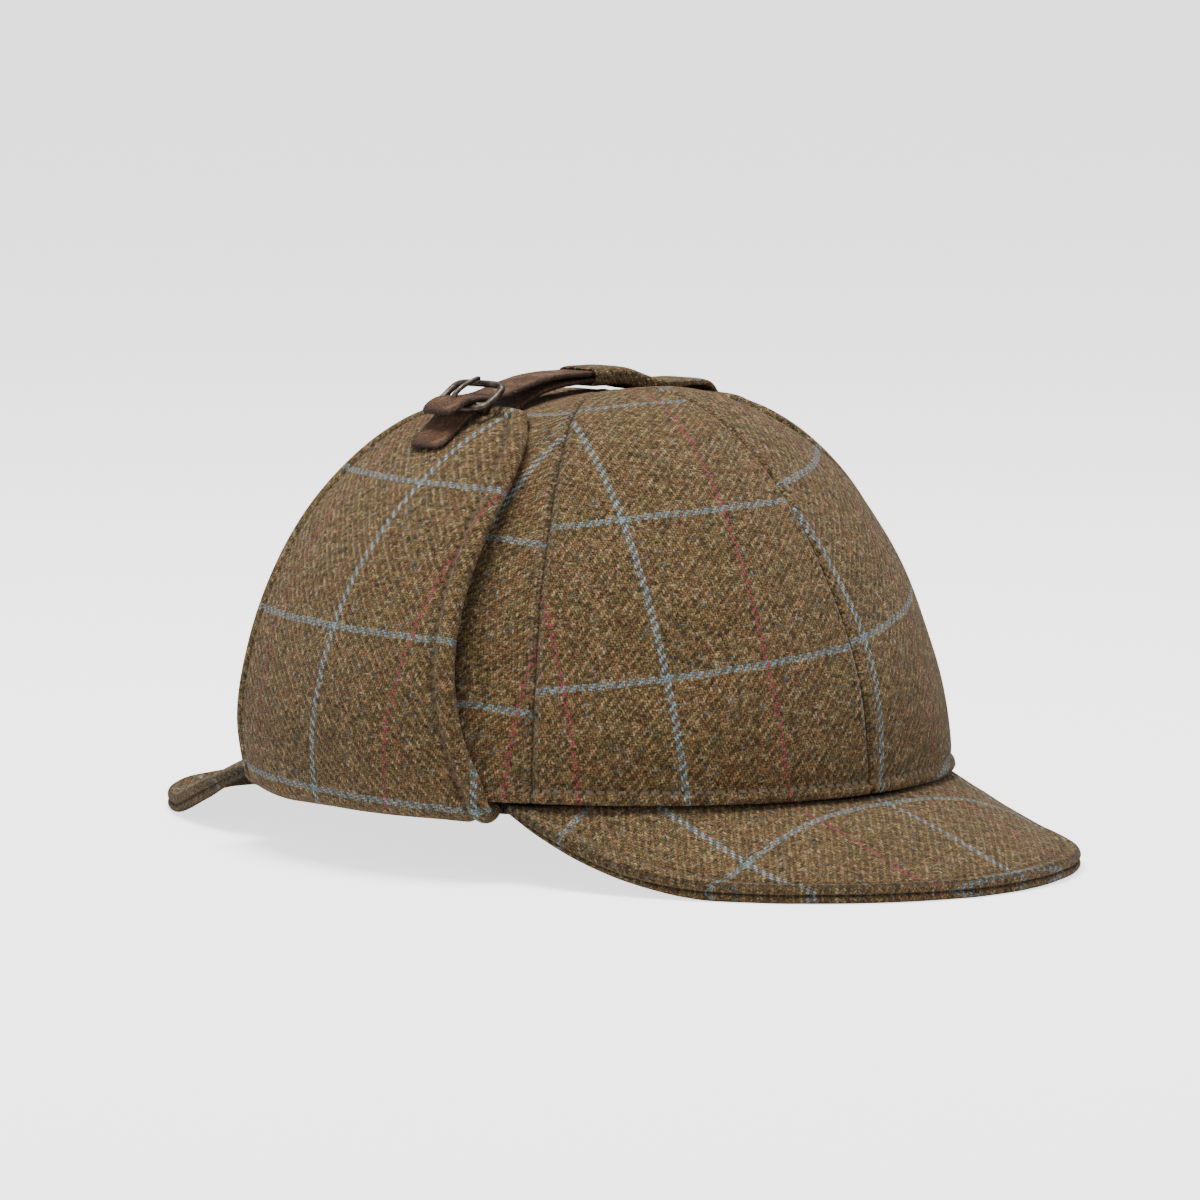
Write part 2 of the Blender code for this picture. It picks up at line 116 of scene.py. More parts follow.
def creases(points, size, seed):
    """Gentle unevenness, -1 to 1, at each of an array of points; size is in metres."""
    shift = Vector((seed * 3.7, seed * 1.3, seed * 2.1))
    values = [noise.noise(Vector(p) / size + shift) for p in points.reshape(-1, 3)]
    return np.array(values).reshape(points.shape[:-1])


print("crown top at", round(crown_point(0, 1)[2] * 1000, 1), "mm")

# %% [markdown]
# ## A sewn piece from one grid
# Cloth could be made with a simulation, but sewn and stiffened pieces keep a shape that
# patterns and seams give them. So each piece starts as a flat grid, which is extruded once
# into a closed sheet, and its corners are then moved to the cloth's outer and inner face.
# Near an edge the two faces roll together, and a row of stitches draws them in.


# %% Measures on a grid of points
def grid_of(place, across, up):
    """The places of a grid: one column for each value across, one row for each value up."""
    return np.array([[place(u, v) for v in up] for u in across])


def lengths_along(points, axis=0):
    """How far each point of a line, or of every line of a grid, is from the line's start."""
    steps = np.linalg.norm(np.diff(points, axis=axis), axis=-1)
    return np.concatenate([np.zeros_like(steps.take([0], axis)), np.cumsum(steps, axis)], axis)


def area_of(points):
    """The area that a grid of points covers, in square metres."""
    faces = np.cross(np.diff(points, axis=0)[:, :-1], np.diff(points, axis=1)[:-1])
    return float(np.linalg.norm(faces, axis=2).sum())


def normals_of(middle):
    """The direction off a grid of points, at each of them."""
    off = np.cross(np.gradient(middle, axis=0), np.gradient(middle, axis=1))
    return off / np.maximum(np.linalg.norm(off, axis=2, keepdims=True), 1e-12)


def edge_reach(middle, edges):
    """Each point's distance to the named edges of its grid, and how far along them it is."""
    lines = {"start": middle[0], "end": middle[-1], "low": middle[:, 0], "high": middle[:, -1]}
    nearest = np.full(middle.shape[:2], np.inf)
    along = np.zeros(middle.shape[:2])
    for edge in edges:
        line = lines[edge]
        step = np.diff(line, axis=0)
        sizes = np.linalg.norm(step, axis=1)
        lengths = lengths_along(line)
        for i, row in enumerate(middle):
            gap = row[:, None] - line[None, :-1]
            share = np.clip((gap * step).sum(2) / np.maximum(sizes ** 2, 1e-15), 0, 1)
            far = np.linalg.norm(gap - share[..., None] * step, axis=2)
            best = far.argmin(1)
            pick = np.arange(len(row))
            closer = far[pick, best] < nearest[i]
            nearest[i][closer] = far[pick, best][closer]
            along[i][closer] = (lengths[best] + share[pick, best] * sizes[best])[closer]
    return nearest, along


def cloth_sizes(middle):
    """Flat places on the cloth, in metres: across from the grid's middle column, and up."""
    centre = middle.shape[0] // 2
    across = lengths_along(middle)
    across = across - across[centre]
    return np.stack([across, np.broadcast_to(lengths_along(middle[centre]), across.shape)], axis=2)


def turned(flat, leans, shift):
    """Cloth places on the fabric. leans are the degrees by which its upright and its level
    threads lean on the piece, which differ where the cloth was pulled on the bias."""
    upright, level = (math.radians(lean) for lean in leans)
    u = flat[..., 0] * math.cos(upright) + flat[..., 1] * math.sin(upright) + shift[0]
    v = flat[..., 1] * math.cos(level) - flat[..., 0] * math.sin(level) + shift[1]
    return np.stack([u, v], axis=2)


# %% From a grid to a closed sheet of cloth
def placed(name, bm, look):
    """Turn a finished bmesh into a piece in the scene."""
    mesh_data = bpy.data.meshes.new(name)
    bm.to_mesh(mesh_data)
    bm.free()
    mesh_data.shade_smooth()
    piece = bpy.data.objects.new(name, mesh_data)
    bpy.context.scene.collection.objects.link(piece)
    mesh_data.materials.append(look)
    return piece


def closed(name, bm, look):
    """Turn a closed bmesh into a piece whose faces point outwards."""
    bm.normal_update()
    bmesh.ops.recalc_face_normals(bm, faces=bm.faces[:])
    return placed(name, bm, look)


def closed_sheet(name, outer, inner, flat, look, notes={}, ring=False):
    """Extrude a grid once and put its corners on the two faces. flat goes to the UV map,
    and each of the notes to an attribute that the material reads."""
    columns, rows = outer.shape[:2]
    bm = bmesh.new()
    cloth_map = bm.loops.layers.uv.new("cloth")
    layers = {key: bm.verts.layers.float.new(key) for key in notes}
    bmesh.ops.create_grid(bm, x_segments=columns - 1, y_segments=rows - 1, size=0.5)
    made = bmesh.ops.extrude_face_region(bm, geom=bm.faces[:])
    under = {item for item in made["geom"] if isinstance(item, bmesh.types.BMVert)}
    cell = {corner: (round((corner.co.x + 0.5) * (columns - 1)),
                     round((corner.co.y + 0.5) * (rows - 1))) for corner in bm.verts}
    if ring:
        ends = [face for face in bm.faces
                if all(cell[c][0] == 0 for c in face.verts)
                or all(cell[c][0] == columns - 1 for c in face.verts)]
        bmesh.ops.delete(bm, geom=ends, context="FACES")
    for face in bm.faces:
        for corner in face.loops:
            corner[cloth_map].uv = flat[cell[corner.vert]]
    for corner, place in cell.items():
        corner.co = (inner if corner in under else outer)[place]
        for key, layer in layers.items():
            corner[layer] = notes[key][place]
    if ring:
        bmesh.ops.remove_doubles(bm, verts=bm.verts[:], dist=1e-7)
    return closed(name, bm, look)


def fitted(piece, slot, *nodes):
    """The piece rides on the hat and stands for these solids."""
    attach(piece, "root")
    if nodes:
        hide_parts(*nodes)
    print(piece.name, len(piece.data.polygons), "faces")
    return piece


# %% [markdown]
# ## Node helpers
# A material is a graph of small nodes, and the tweed's weave takes about a hundred of them.
# They could be added and joined one by one, but that hides the sums that they stand for. So
# an output of a node is wrapped as a Signal: adding or multiplying signals adds the nodes
# that do it, and a few helpers add the patterns, the colours and the relief.


# %% Sums in a shader graph
class Signal:
    """An output of a node. Sums with it add the nodes that work them out."""

    def __init__(self, socket):
        self.socket = socket
        self.tree = socket.id_data

    def also(self, label):
        """Another output of the same node."""
        return Signal(self.socket.node.outputs[label])

    def __add__(self, other):
        return calc("ADD", self, other)

    def __sub__(self, other):
        return calc("SUBTRACT", self, other)

    def __rsub__(self, other):
        return calc("SUBTRACT", other, self)

    def __mul__(self, other):
        return calc("MULTIPLY", self, other)

    def __truediv__(self, other):
        return calc("DIVIDE", self, other)

    def __mod__(self, other):
        return calc("FLOORED_MODULO", self, other)


def feed(value, socket):
    """Join a signal to a socket, or set the socket to a plain number or colour."""
    if isinstance(value, Signal):
        value.tree.links.new(value.socket, socket)
    elif isinstance(value, tuple) and len(value) < len(socket.default_value):
        socket.default_value = (*value, 1.0)
    else:
        socket.default_value = value


def new_node(kind, given, **settings):
    """A node in the graph of the signals that it is given, by its sockets' names or numbers."""
    tree = next(value.tree for value in given.values() if isinstance(value, Signal))
    node = tree.nodes.new("ShaderNode" + kind)
    for key, value in settings.items():
        setattr(node, key, value)
    for key, value in given.items():
        feed(value, node.inputs[key])
    return node


def calc(operation, *given, kind="Math"):
    """One operation on signals and numbers, or on places where kind says so."""
    return Signal(new_node(kind, dict(enumerate(given)), operation=operation).outputs[0])


def split(vector):
    """The three parts of a place."""
    return [Signal(socket) for socket in new_node("SeparateXYZ", {0: vector}).outputs]


# %% Patterns, colours and relief
def mixed(share, first, second, way="MIX"):
    node = new_node("Mix", {0: share, 6: first, 7: second}, data_type="RGBA", blend_type=way)
    return Signal(node.outputs[2])


def speckle(where, scale, detail=2.0, roughness=0.5, curl=0.0):
    """Soft noise round 0.5, in spots that are one scale-th of a metre wide."""
    return Signal(new_node("TexNoise", {
        "Vector": where, "Scale": scale, "Detail": detail, "Roughness": roughness,
        "Distortion": curl}).outputs["Fac"])


def ramp(share, stops, steps=False):
    """The colour that the stops give at a share, blended or in steps."""
    node = new_node("ValToRGB", {0: share})
    node.color_ramp.interpolation = "CONSTANT" if steps else "LINEAR"
    points = node.color_ramp.elements
    while len(points) < len(stops):
        points.new(0.5)
    for point, (place, colour) in zip(points, stops):
        point.position = place
        point.color = colour if len(colour) == 4 else (*colour, 1.0)
    return Signal(node.outputs["Color"])


def stretched(share, low, high):
    """share, read between low and high, as 0 to 1."""
    return Signal(new_node("MapRange", {"Value": share, "From Min": low, "From Max": high},
                           interpolation_type="SMOOTHSTEP").outputs["Result"])


def relief(height, depth, strength=1.0):
    """The bump of a height of 1 that is depth metres high."""
    return Signal(new_node("Bump", {"Height": height, "Distance": depth,
                                    "Strength": strength}).outputs[0])


def node_group(name, takes, gives):
    """An empty node group, the signals that it takes and the sockets that it gives."""
    group = bpy.data.node_groups.new(name, "ShaderNodeTree")
    for way, sockets in (("INPUT", takes), ("OUTPUT", gives)):
        for label, kind in sockets.items():
            group.interface.new_socket(label, in_out=way, socket_type="NodeSocket" + kind)
    taken = group.nodes.new("NodeGroupInput").outputs
    return (group, {label: Signal(taken[label]) for label in takes},
            group.nodes.new("NodeGroupOutput").inputs)


def use_group(group, **given):
    """Place a group in a material, and return its outputs by name."""
    node = new_node("Group", {label.replace("_", " "): value for label, value in given.items()},
                    node_tree=group)
    return {socket.name: Signal(socket) for socket in node.outputs}


def new_look(name, on_object=False):
    """A material, and the place that its patterns read: on the cloth's map or the object."""
    look = bpy.data.materials.new(name)
    look.use_nodes = True
    if on_object:
        where = look.node_tree.nodes.new("ShaderNodeTexCoord").outputs["Object"]
    else:
        cloth = look.node_tree.nodes.new("ShaderNodeUVMap")
        cloth.uv_map = "cloth"
        where = cloth.outputs[0]
    return look, Signal(where)


def note(look, key):
    """A number that was noted on the mesh."""
    node = look.node_tree.nodes.new("ShaderNodeAttribute")
    node.attribute_name = key
    return Signal(node.outputs["Fac"])


def set_shader(look, values):
    """Feed the material's shader, by the names of its sockets."""
    shader = look.node_tree.nodes["Principled BSDF"]
    for label, value in values.items():
        feed(value, shader.inputs[label])
    print(look.name, len(look.node_tree.nodes), "nodes")


# %% [markdown]
# ## Tweed
# Tweed is a 2/2 twill: each thread passes over two and under two, one step further in every
# row, so fine diagonal lines run over the cloth. The yarn is spun from wool dyed in several
# colours, which gives the brown its green, rust and blue flecks. Three threads of pale blue
# cross every few centimetres as a windowpane, with two threads of another colour midway. An
# image could show this, but one image can't stay sharp on every piece. So the weave is
# worked out from the place on the cloth: which thread is on top, how far along its float,
# and its dye.

# %% The tweed weave
THREAD = 0.00066
CHECK_ACROSS, CHECK_UP, CHECK_THREADS, MIDDLE_THREADS = 85, 69, 3.0, 2.0
FLOAT, REPEAT = 2.0, 4.0

tweed_weave, taken, gives = node_group(
    "heather tweed weave", {"Cloth": "Vector", "Middle Thread": "Color"},
    {"Color": "Color", "Height": "Float"})

sway = calc("SUBTRACT", speckle(taken["Cloth"], 240.0, 1.0).also("Color"), (0.5, 0.5, 0.5),
            kind="VectorMath")
on_cloth = calc("MULTIPLY_ADD", sway, (0.0009, 0.0009, 0.0), taken["Cloth"], kind="VectorMath")
across, up = split(on_cloth)[:2]
x, y = across / THREAD, up / THREAD
column, row = calc("FLOOR", x), calc("FLOOR", y)
up_float = (y - column) % REPEAT
side_float = (row - x) % REPEAT
upright = calc("LESS_THAN", up_float, FLOAT)
level = 1.0 - upright


def thread_back(share):
    """A thread's round back: 0 at both ends of share, 1 in its middle."""
    return calc("POWER", calc("MAXIMUM", calc("SINE", share * math.pi), 0.0), 0.6)


def on_top(first, second):
    """The first value where an upright thread is on top, else the second."""
    return first * upright + second * level


thread_height = on_top(
    thread_back(calc("FRACT", x)) * thread_back(up_float / FLOAT),
    thread_back(calc("FRACT", y)) * thread_back((side_float - 1.0) / FLOAT))
up_count = calc("FLOOR", (y - column) / REPEAT)
side_count = calc("FLOOR", (row - x) / REPEAT)
which = Signal(new_node("CombineXYZ", {
    0: on_top(column, row + 511.0), 1: on_top(up_count, side_count), 2: upright}).outputs[0])
dye = Signal(new_node("TexWhiteNoise", {"Vector": which}, noise_dimensions="3D").outputs["Value"])
fleck_dye = Signal(new_node("SeparateColor", {0: dye.also("Color")}).outputs["Green"])

# %% The colours of the wool
fibre = speckle(on_cloth, 1400.0, 4.0, 0.72, 2.2)
cloud = speckle(on_cloth, 560.0, 3.0, 0.68, 1.2)
shade = (dye * 0.16 + stretched(fibre, 0.33, 0.67) * 0.46 + stretched(cloud, 0.34, 0.66) * 0.28
         + upright * 0.11)
wool = ramp(shade, [
    (0.14, (0.008, 0.005, 0.002)), (0.34, (0.036, 0.021, 0.007)), (0.52, (0.110, 0.067, 0.025)),
    (0.70, (0.222, 0.143, 0.060)), (0.92, (0.490, 0.355, 0.180))])
tint = ramp(speckle(taken["Cloth"], 95.0), [
    (0.35, (0.94, 1.00, 0.92)), (0.50, (1.00, 1.00, 1.00)), (0.65, (1.08, 0.98, 0.98))])
wool = mixed(1.0, wool, tint, "MULTIPLY")
fleck = ramp(fleck_dye, [
    (0.00, (0.110, 0.160, 0.175, 0.60)), (0.035, (0.092, 0.105, 0.036, 0.50)),
    (0.17, (0.1, 0.1, 0.1, 0.0)), (0.82, (0.270, 0.115, 0.040, 0.45)),
    (0.93, (0.210, 0.050, 0.042, 0.50)), (0.955, (0.420, 0.330, 0.215, 0.60))], steps=True)
wool = mixed(fleck.also("Alpha") * stretched(fibre, 0.34, 0.62), wool, fleck)


def check_line(count, every, over, under):
    """1 where a check thread lies on top, a little where wool from below shows through."""
    line = calc("LESS_THAN", count % float(every), CHECK_THREADS)
    return line * calc("MULTIPLY_ADD", under, 0.10, over * 0.82)


def blue_yarn(*shades):
    return ramp(fibre, list(zip((0.38, 0.50, 0.64), shades)))


pale_blue = blue_yarn((0.034, 0.054, 0.064), (0.190, 0.270, 0.300), (0.480, 0.570, 0.570))
deep_blue = blue_yarn((0.028, 0.050, 0.066), (0.140, 0.215, 0.255), (0.370, 0.460, 0.490))
wool = mixed(check_line(row, CHECK_UP, level, upright), wool, deep_blue)
wool = mixed(check_line(column, CHECK_ACROSS, upright, level), wool, pale_blue)
midway = calc("LESS_THAN", (column + CHECK_ACROSS // 2) % float(CHECK_ACROSS), MIDDLE_THREADS)
wool = mixed(midway * upright * stretched(fibre, 0.32, 0.60), wool, taken["Middle Thread"])
# painted shade: the colour darkens where a thread dips at its ends and sides, standing in for the
# shade between the threads
between = ramp(thread_height, [(0.0, (0.34, 0.31, 0.28)), (0.75, (1.0, 1.0, 1.0))])
feed(mixed(1.0, wool, between, "MULTIPLY"), gives["Color"])
fuzz = calc("MULTIPLY_ADD", fibre, 1.8, cloud * 1.6)
feed(calc("MULTIPLY_ADD", thread_height, 0.9, fuzz), gives["Height"])
print("check of", round(CHECK_ACROSS * THREAD * 1000), "by", round(CHECK_UP * THREAD * 1000),
      "mm in", len(tweed_weave.nodes), "nodes")

# %% [markdown]
# ## Stitches
# A row of topstitching holds every edge flat. On thick wool the thread sinks in, so what
# shows is a furrow that is deepest between the stitches, with a little of the thread in it.
# The furrow is pressed into the relief and darkened with painted shade.
# Hundreds of modelled stitches would be heavy, so the row is drawn from two notes on the
# mesh: the distance to the edge, and the way along it.

# %% A row of stitches
STITCH_LENGTH, STITCH_WIDTH = 0.0029, 0.00040
stitch_row, taken, gives = node_group(
    "row of stitches", dict.fromkeys(("Distance", "Along", "Place", "Width"), "Float"),
    {"Thread": "Float", "Furrow": "Float"})
aside = calc("ABSOLUTE", taken["Distance"] - taken["Place"])
beat = calc("ABSOLUTE", calc("FRACT", taken["Along"] / STITCH_LENGTH) - 0.5)
long_enough = 1.0 - stretched(beat, 0.30, 0.42)
thin_enough = 1.0 - stretched(aside, STITCH_WIDTH * 0.6, STITCH_WIDTH * 1.3)
feed(long_enough * thin_enough, gives["Thread"])
slope = 1.0 - stretched(aside / taken["Width"], 0.0, 1.0)
feed(slope * (stretched(beat, 0.15, 0.5) * 0.5 + 0.65), gives["Furrow"])

# %% [markdown]
# Every piece of tweed uses the same two groups with its own values. A row of stitches is
# given by its notes of distance and way, its place, the furrow's width and depth, and its
# thread's colour and how much of it shows. The back peak's check has orange threads midway
# instead of crimson ones.

# %% Tweed for each kind of piece
SUNK_THREAD, PALE_THREAD = (0.120, 0.080, 0.042), (0.330, 0.265, 0.185)
# the furrow colour is painted shade, laid into the stitched furrows
FURROW_PAINTED_SHADE, CRIMSON, ORANGE = (0.018, 0.011, 0.006), (0.300, 0.045, 0.070), (0.42, 0.160, 0.050)


def tweed_cloth(name, rows_of_stitches, middle_thread=CRIMSON):
    look, cloth = new_look(name)
    wool = use_group(tweed_weave, Cloth=cloth, Middle_Thread=middle_thread)
    colour, height = wool["Color"], wool["Height"] * 0.30
    for distance, along, place, width, depth, thread, shows in rows_of_stitches:
        row = use_group(stitch_row, Distance=note(look, distance), Along=note(look, along),
                        Place=place, Width=width)
        furrow = row["Furrow"] * depth
        # painted shade: the cloth is darkened in each stitched furrow
        colour = mixed(furrow, colour, FURROW_PAINTED_SHADE)
        colour = mixed(row["Thread"] * shows, colour, thread)
        height = height - furrow + row["Thread"] * 0.25
    set_shader(look, {
        "Base Color": colour, "Normal": relief(height, 0.0011, 0.85), "Roughness": 0.95,
        "Specular IOR Level": 0.15, "Sheen Weight": 0.07, "Sheen Roughness": 0.55,
        "Sheen Tint": (0.95, 0.86, 0.72)})
    return look


crown_tweed = tweed_cloth("crown tweed", [
    ("seam", "up_seam", 0.0000, 0.0005, 0.80, SUNK_THREAD, 0.0),
    ("seam", "up_seam", 0.0016, 0.0008, 0.30, PALE_THREAD, 0.14),
    ("hem", "round_hem", 0.0034, 0.0008, 0.55, PALE_THREAD, 0.34)])
flap_tweed = tweed_cloth("flap tweed", [
    ("edge", "round_edge", 0.0056, 0.0012, 0.75, SUNK_THREAD, 0.5)])
PEAK_ROWS = [("edge", "round_edge", 0.0047, 0.0010, 0.62, SUNK_THREAD, 0.4),
             ("edge", "round_edge", 0.0000, 0.0012, 0.85, SUNK_THREAD, 0.0)]
peak_tweed = tweed_cloth("peak tweed", PEAK_ROWS)
back_tweed = tweed_cloth("back peak tweed", PEAK_ROWS, ORANGE)

# %% [markdown]
# ## The crown
# Six gores are sewn edge to edge and pressed over a block. Between the seams the wool
# swells a little, along them it is drawn in, and at the bottom it is rolled under and
# stitched down on the peaks. One dome could carry all this, but each gore has its own cut of
# the check, so the lines break at the seams. Six closed sheets show that.

# %% Six gores
GORE_ACROSS, GORE_UP, TOP_SHARE = 64, 100, 0.9995
PUFF, SEAM_DRAW, HEM_ROLL, GORE_THICK = 0.0007, 0.0010, 0.0010, CROWN_WALL - 0.0008
GORE_CUTS = {1: ((-6.4, 11.0), (0.0442, -0.0475)), 2: ((3.0, 3.0), (0.0180, -0.0300)),
             3: ((-4.0, -4.0), (-0.0100, -0.0380)), 4: ((4.0, 4.0), (0.0220, -0.0330)),
             5: ((-5.0, -5.0), (-0.0160, -0.0270)), 6: ((6.5, 6.5), (0.0093, -0.0338))}
for number, cut in GORE_CUTS.items():
    shares = 0.5 - 0.5 * np.cos(np.linspace(0, math.pi, GORE_ACROSS + 1))
    rises = np.linspace(0, 1, GORE_UP + 1) ** 1.12 * TOP_SHARE
    outline = grid_of(lambda u, v: crown_point((number - 1 + u) * math.pi / 3, v), shares, rises)
    off = off_crown(outline)
    seam, up_seam = edge_reach(outline, ("start", "end"))
    hem, round_hem = edge_reach(outline, ("low",))
    top_fade = np.clip((1 - rises) / 0.12, 0, 1)[None, :]
    lift = PUFF * (1 - bump_at(seam, 0, 0.012)) - SEAM_DRAW * bump_at(seam, 0, 0.0008) * top_fade
    lift += 0.00030 * bump_at(seam, 0.0022, 0.0014) * top_fade
    lift += HEM_ROLL * bump_at(hem, 0.0014, 0.0014) - 0.0006 * bump_at(hem, 0.0036, 0.0009)
    lift += 0.0011 * creases(outline, 0.045, 1.0) + 0.0004 * creases(outline, 0.017, 2.0)
    outer = outline + off * lift[..., None]
    gore = closed_sheet(
        f"crown_gore_{number}", outer, outer - off * GORE_THICK,
        turned(cloth_sizes(outline), *cut), crown_tweed,
        {"seam": seam, "up_seam": up_seam, "hem": hem, "round_hem": round_hem})
    fitted(gore, "tweed", f"crown_panel_{number}")
print("each gore takes about", round(area_of(outline) * 1e4), "square cm of tweed")

# %% [markdown]
# ## The peaks
# A peak is a stiff crescent covered with tweed on both sides. Its two covers meet in a
# seam along the middle of the edge, and a row of stitches lies inside it. The rows of the
# grid follow a table of the edge's section: how far in from the edge each row lies, and
# half the thickness there. Where a peak rests, the cloth bends level.

# %% The line of a peak
EDGE_SECTION = np.array([
    (0.95, 0.06), (0.52, 0.22), (0.16, 0.52), (0.00, 1.10), (0.10, 1.65), (0.45, 2.12),
    (1.05, 2.45), (1.90, 2.62), (2.90, 2.60), (3.90, 2.38), (4.80, 2.02), (5.50, 1.78),
    (6.20, 1.84), (7.40, 2.04), (9.00, 2.10), (11.0, 2.00)]) / 1000
FRONT_PEAK = {"side": -1, "corner": 64.0, "bulge": 0.56, "bluntness": 2.08, "droop": 0.0190,
              "side_droop": 0.0082}
BACK_PEAK = {"side": 1, "corner": 50.0, "bulge": 0.08, "bluntness": 1.30, "droop": 0.0206,
             "side_droop": 0.0054}
PEAK_REACH, PEAK_WALL, PEAK_CURL, REST_HALF = 0.0515, 0.0032, 1.2, 0.0022


def peak_line(turn, peak):
    """A peak's root and its edge at one turn round it, corner to corner."""
    corner = math.radians(peak["corner"])
    corner_x, corner_y = CROWN_HALF_WIDTH * math.sin(corner), CROWN_HALF_LENGTH * math.cos(corner)
    swell = max(math.cos(turn), 0.0) ** peak["bluntness"]
    edge_x = corner_x * math.sin(turn) * (1 + peak["bulge"] * math.cos(turn) ** 2)
    edge_y = corner_y + (CROWN_HALF_LENGTH + PEAK_REACH - corner_y) * swell
    fall = peak["droop"] * swell + peak["side_droop"] * math.sin(2 * turn) ** 2
    level = RIM - CLEARANCE - PEAK_WALL / 2
    at = corner * turn / (math.pi / 2)
    root = ((CROWN_HALF_WIDTH - CROWN_WALL) * math.sin(at),
            peak["side"] * (CROWN_HALF_LENGTH - CROWN_WALL) * math.cos(at), level)
    return np.array(root), np.array((edge_x, peak["side"] * edge_y, level - fall))


def peak_place(root, edge, reach):
    """A place on the middle of the peak, reach 0 at the root and 1 at the edge."""
    flat = root[:2] + (edge[:2] - root[:2]) * reach
    height = root[2] + (edge[2] - root[2]) * max(reach, 0.0) ** PEAK_CURL
    over = height - REST_HALF
    return (flat[0], flat[1], REST_HALF + 0.5 * (over + math.sqrt(over * over + 2.0e-6)))


# %% Front and back peak
PEAK_ACROSS, PEAK_UP, FULL_SECTION = 150, 25, 0.022


def sewn_peak(name, peak, look, cut, node):
    inner_rows = np.linspace(0, 1, PEAK_UP + 1)[:-1]
    insets, thick = EDGE_SECTION[::-1].T
    middle, halves = [], []
    for turn in np.linspace(-math.pi / 2, math.pi / 2, PEAK_ACROSS + 1):
        root, edge = peak_line(turn, peak)
        length = np.linalg.norm(edge - root)
        scale = min(1.0, length / FULL_SECTION)
        inset = insets * scale
        reaches = np.concatenate([inner_rows * (1 - inset[0] / length), 1 - inset / length])
        middle.append([peak_place(root, edge, reach) for reach in reaches])
        body = PEAK_WALL / 2 * (1 - inner_rows) + thick[0] * inner_rows
        halves.append(np.concatenate([body, thick]) * (0.35 + 0.65 * scale))
    middle, halves = np.array(middle), np.array(halves)
    # The last rows turn back inwards to the seam, so they take their direction from a line
    # that goes straight on.
    smooth = middle.copy()
    step = smooth[:, -5:-4] - smooth[:, -6:-5]
    smooth[:, -4:] = smooth[:, -5:-4] + step * np.arange(1, 5)[None, :, None]
    off = normals_of(smooth)
    off *= np.sign(off[PEAK_ACROSS // 2, 10, 2])
    reach, along = edge_reach(middle, ("high",))
    lift = 0.0006 * creases(middle, 0.040, 5.0) + 0.0002 * creases(middle, 0.013, 6.0)
    outer = middle + off * (halves + lift)[..., None]
    inner = middle - off * (halves - lift)[..., None]
    for face in (outer, inner):
        face[..., 2] = np.maximum(face[..., 2], 0.00002)
    # The check runs flat over the peak, and on round the roll of its edge.
    flat = middle[..., :2].copy()
    last = PEAK_UP - 1
    heading = flat[:, last] - flat[:, last - 6]
    heading /= np.linalg.norm(heading, axis=1, keepdims=True)
    round_roll = lengths_along(outer[:, last:], axis=1)[:, 1:, None]
    flat[:, last + 1:] = flat[:, last:last + 1] + heading[:, None] * round_roll
    piece = closed_sheet(name, outer, inner, turned(flat, *cut), look,
                         {"edge": reach, "round_edge": along})
    fitted(piece, "tweed", node)


sewn_peak("front_peak_cloth", FRONT_PEAK, peak_tweed, ((2.0, 2.0), (0.003, 0.107)), "front_peak")
sewn_peak("back_peak_cloth", BACK_PEAK, back_tweed, ((-2.0, -2.0), (0.023, -0.130)), "back_peak")

# %% [markdown]
# ## The ear flaps
# An ear flap is two layers of tweed with wadding between. It is sewn in under the crown's
# edge, rolls round it and lies up against the crown, standing a little off. Its thickness
# near the edge is worked out from the distance to it: a plump roll, and a stitched furrow
# that parts it from the rest. How the wadding swells the cloth inside the furrow is left
# to a cloth simulation, run on a coarse copy that is held still at its edge. Its result is
# read back from the grid, capped and added to the fine sheet, which keeps its seams.

# %% Where an ear flap runs
FLAP_WALL, FLAP_STAND_OFF, FLAP_TIP_X = 0.0045, 0.0062, 0.036
FLAP_FRONT = 0.0020 - CROWN_HALF_LENGTH * math.cos(math.radians(64.0))
FLAP_BACK = CROWN_HALF_LENGTH * math.cos(math.radians(50.0)) - 0.0020
FLAP_TOP = math.acos(FLAP_TIP_X / CROWN_HALF_WIDTH)
FOLD_START, FOLD_END, TIP_START = -0.10, 0.05, 0.92
RISES = (0.00, 0.10, 0.25, 0.40, 0.55, 0.70, 0.82, 0.91, 0.965, 1.00)
HALVES = (1.00, 0.92, 0.82, 0.765, 0.72, 0.65, 0.545, 0.42, 0.29, 0.14)
FORWARDS = (0.00, 0.05, 0.15, 0.30, 0.50, 0.70, 0.85, 0.95, 1.00, 1.00)
STANDS = (0.00, 0.65, 1.00, 1.00, 0.80, 0.45, 0.20, 0.08, 0.05, 0.05)
FOLD_ROLL = ((-2.7, -2.1), (-1.4, -3.1), (0.4, -3.5), (2.2, -2.7), (3.2, -0.7))


def eased_table(share, values):
    """A table's column read smoothly between its rows."""
    index = min(max(int(np.searchsorted(RISES, share)) - 1, 0), len(RISES) - 2)
    slopes = np.gradient(np.array(values), np.array(RISES))
    step = RISES[index + 1] - RISES[index]
    t = (share - RISES[index]) / step
    a, b = values[index], values[index + 1]
    return ((2 * t ** 3 - 3 * t ** 2 + 1) * a + (t ** 3 - 2 * t ** 2 + t) * step * slopes[index]
            + (-2 * t ** 3 + 3 * t ** 2) * b + (t ** 3 - t ** 2) * step * slopes[index + 1])


def flap_half(share):
    """The flap's half-width, closing in a round tip."""
    full = (FLAP_BACK - FLAP_FRONT) / 2
    if share < TIP_START:
        return full * eased_table(share, HALVES)
    cap = (share - TIP_START) / 0.0805
    return full * eased_table(TIP_START, HALVES) * max(1 - cap * cap, 0.0) ** 0.5


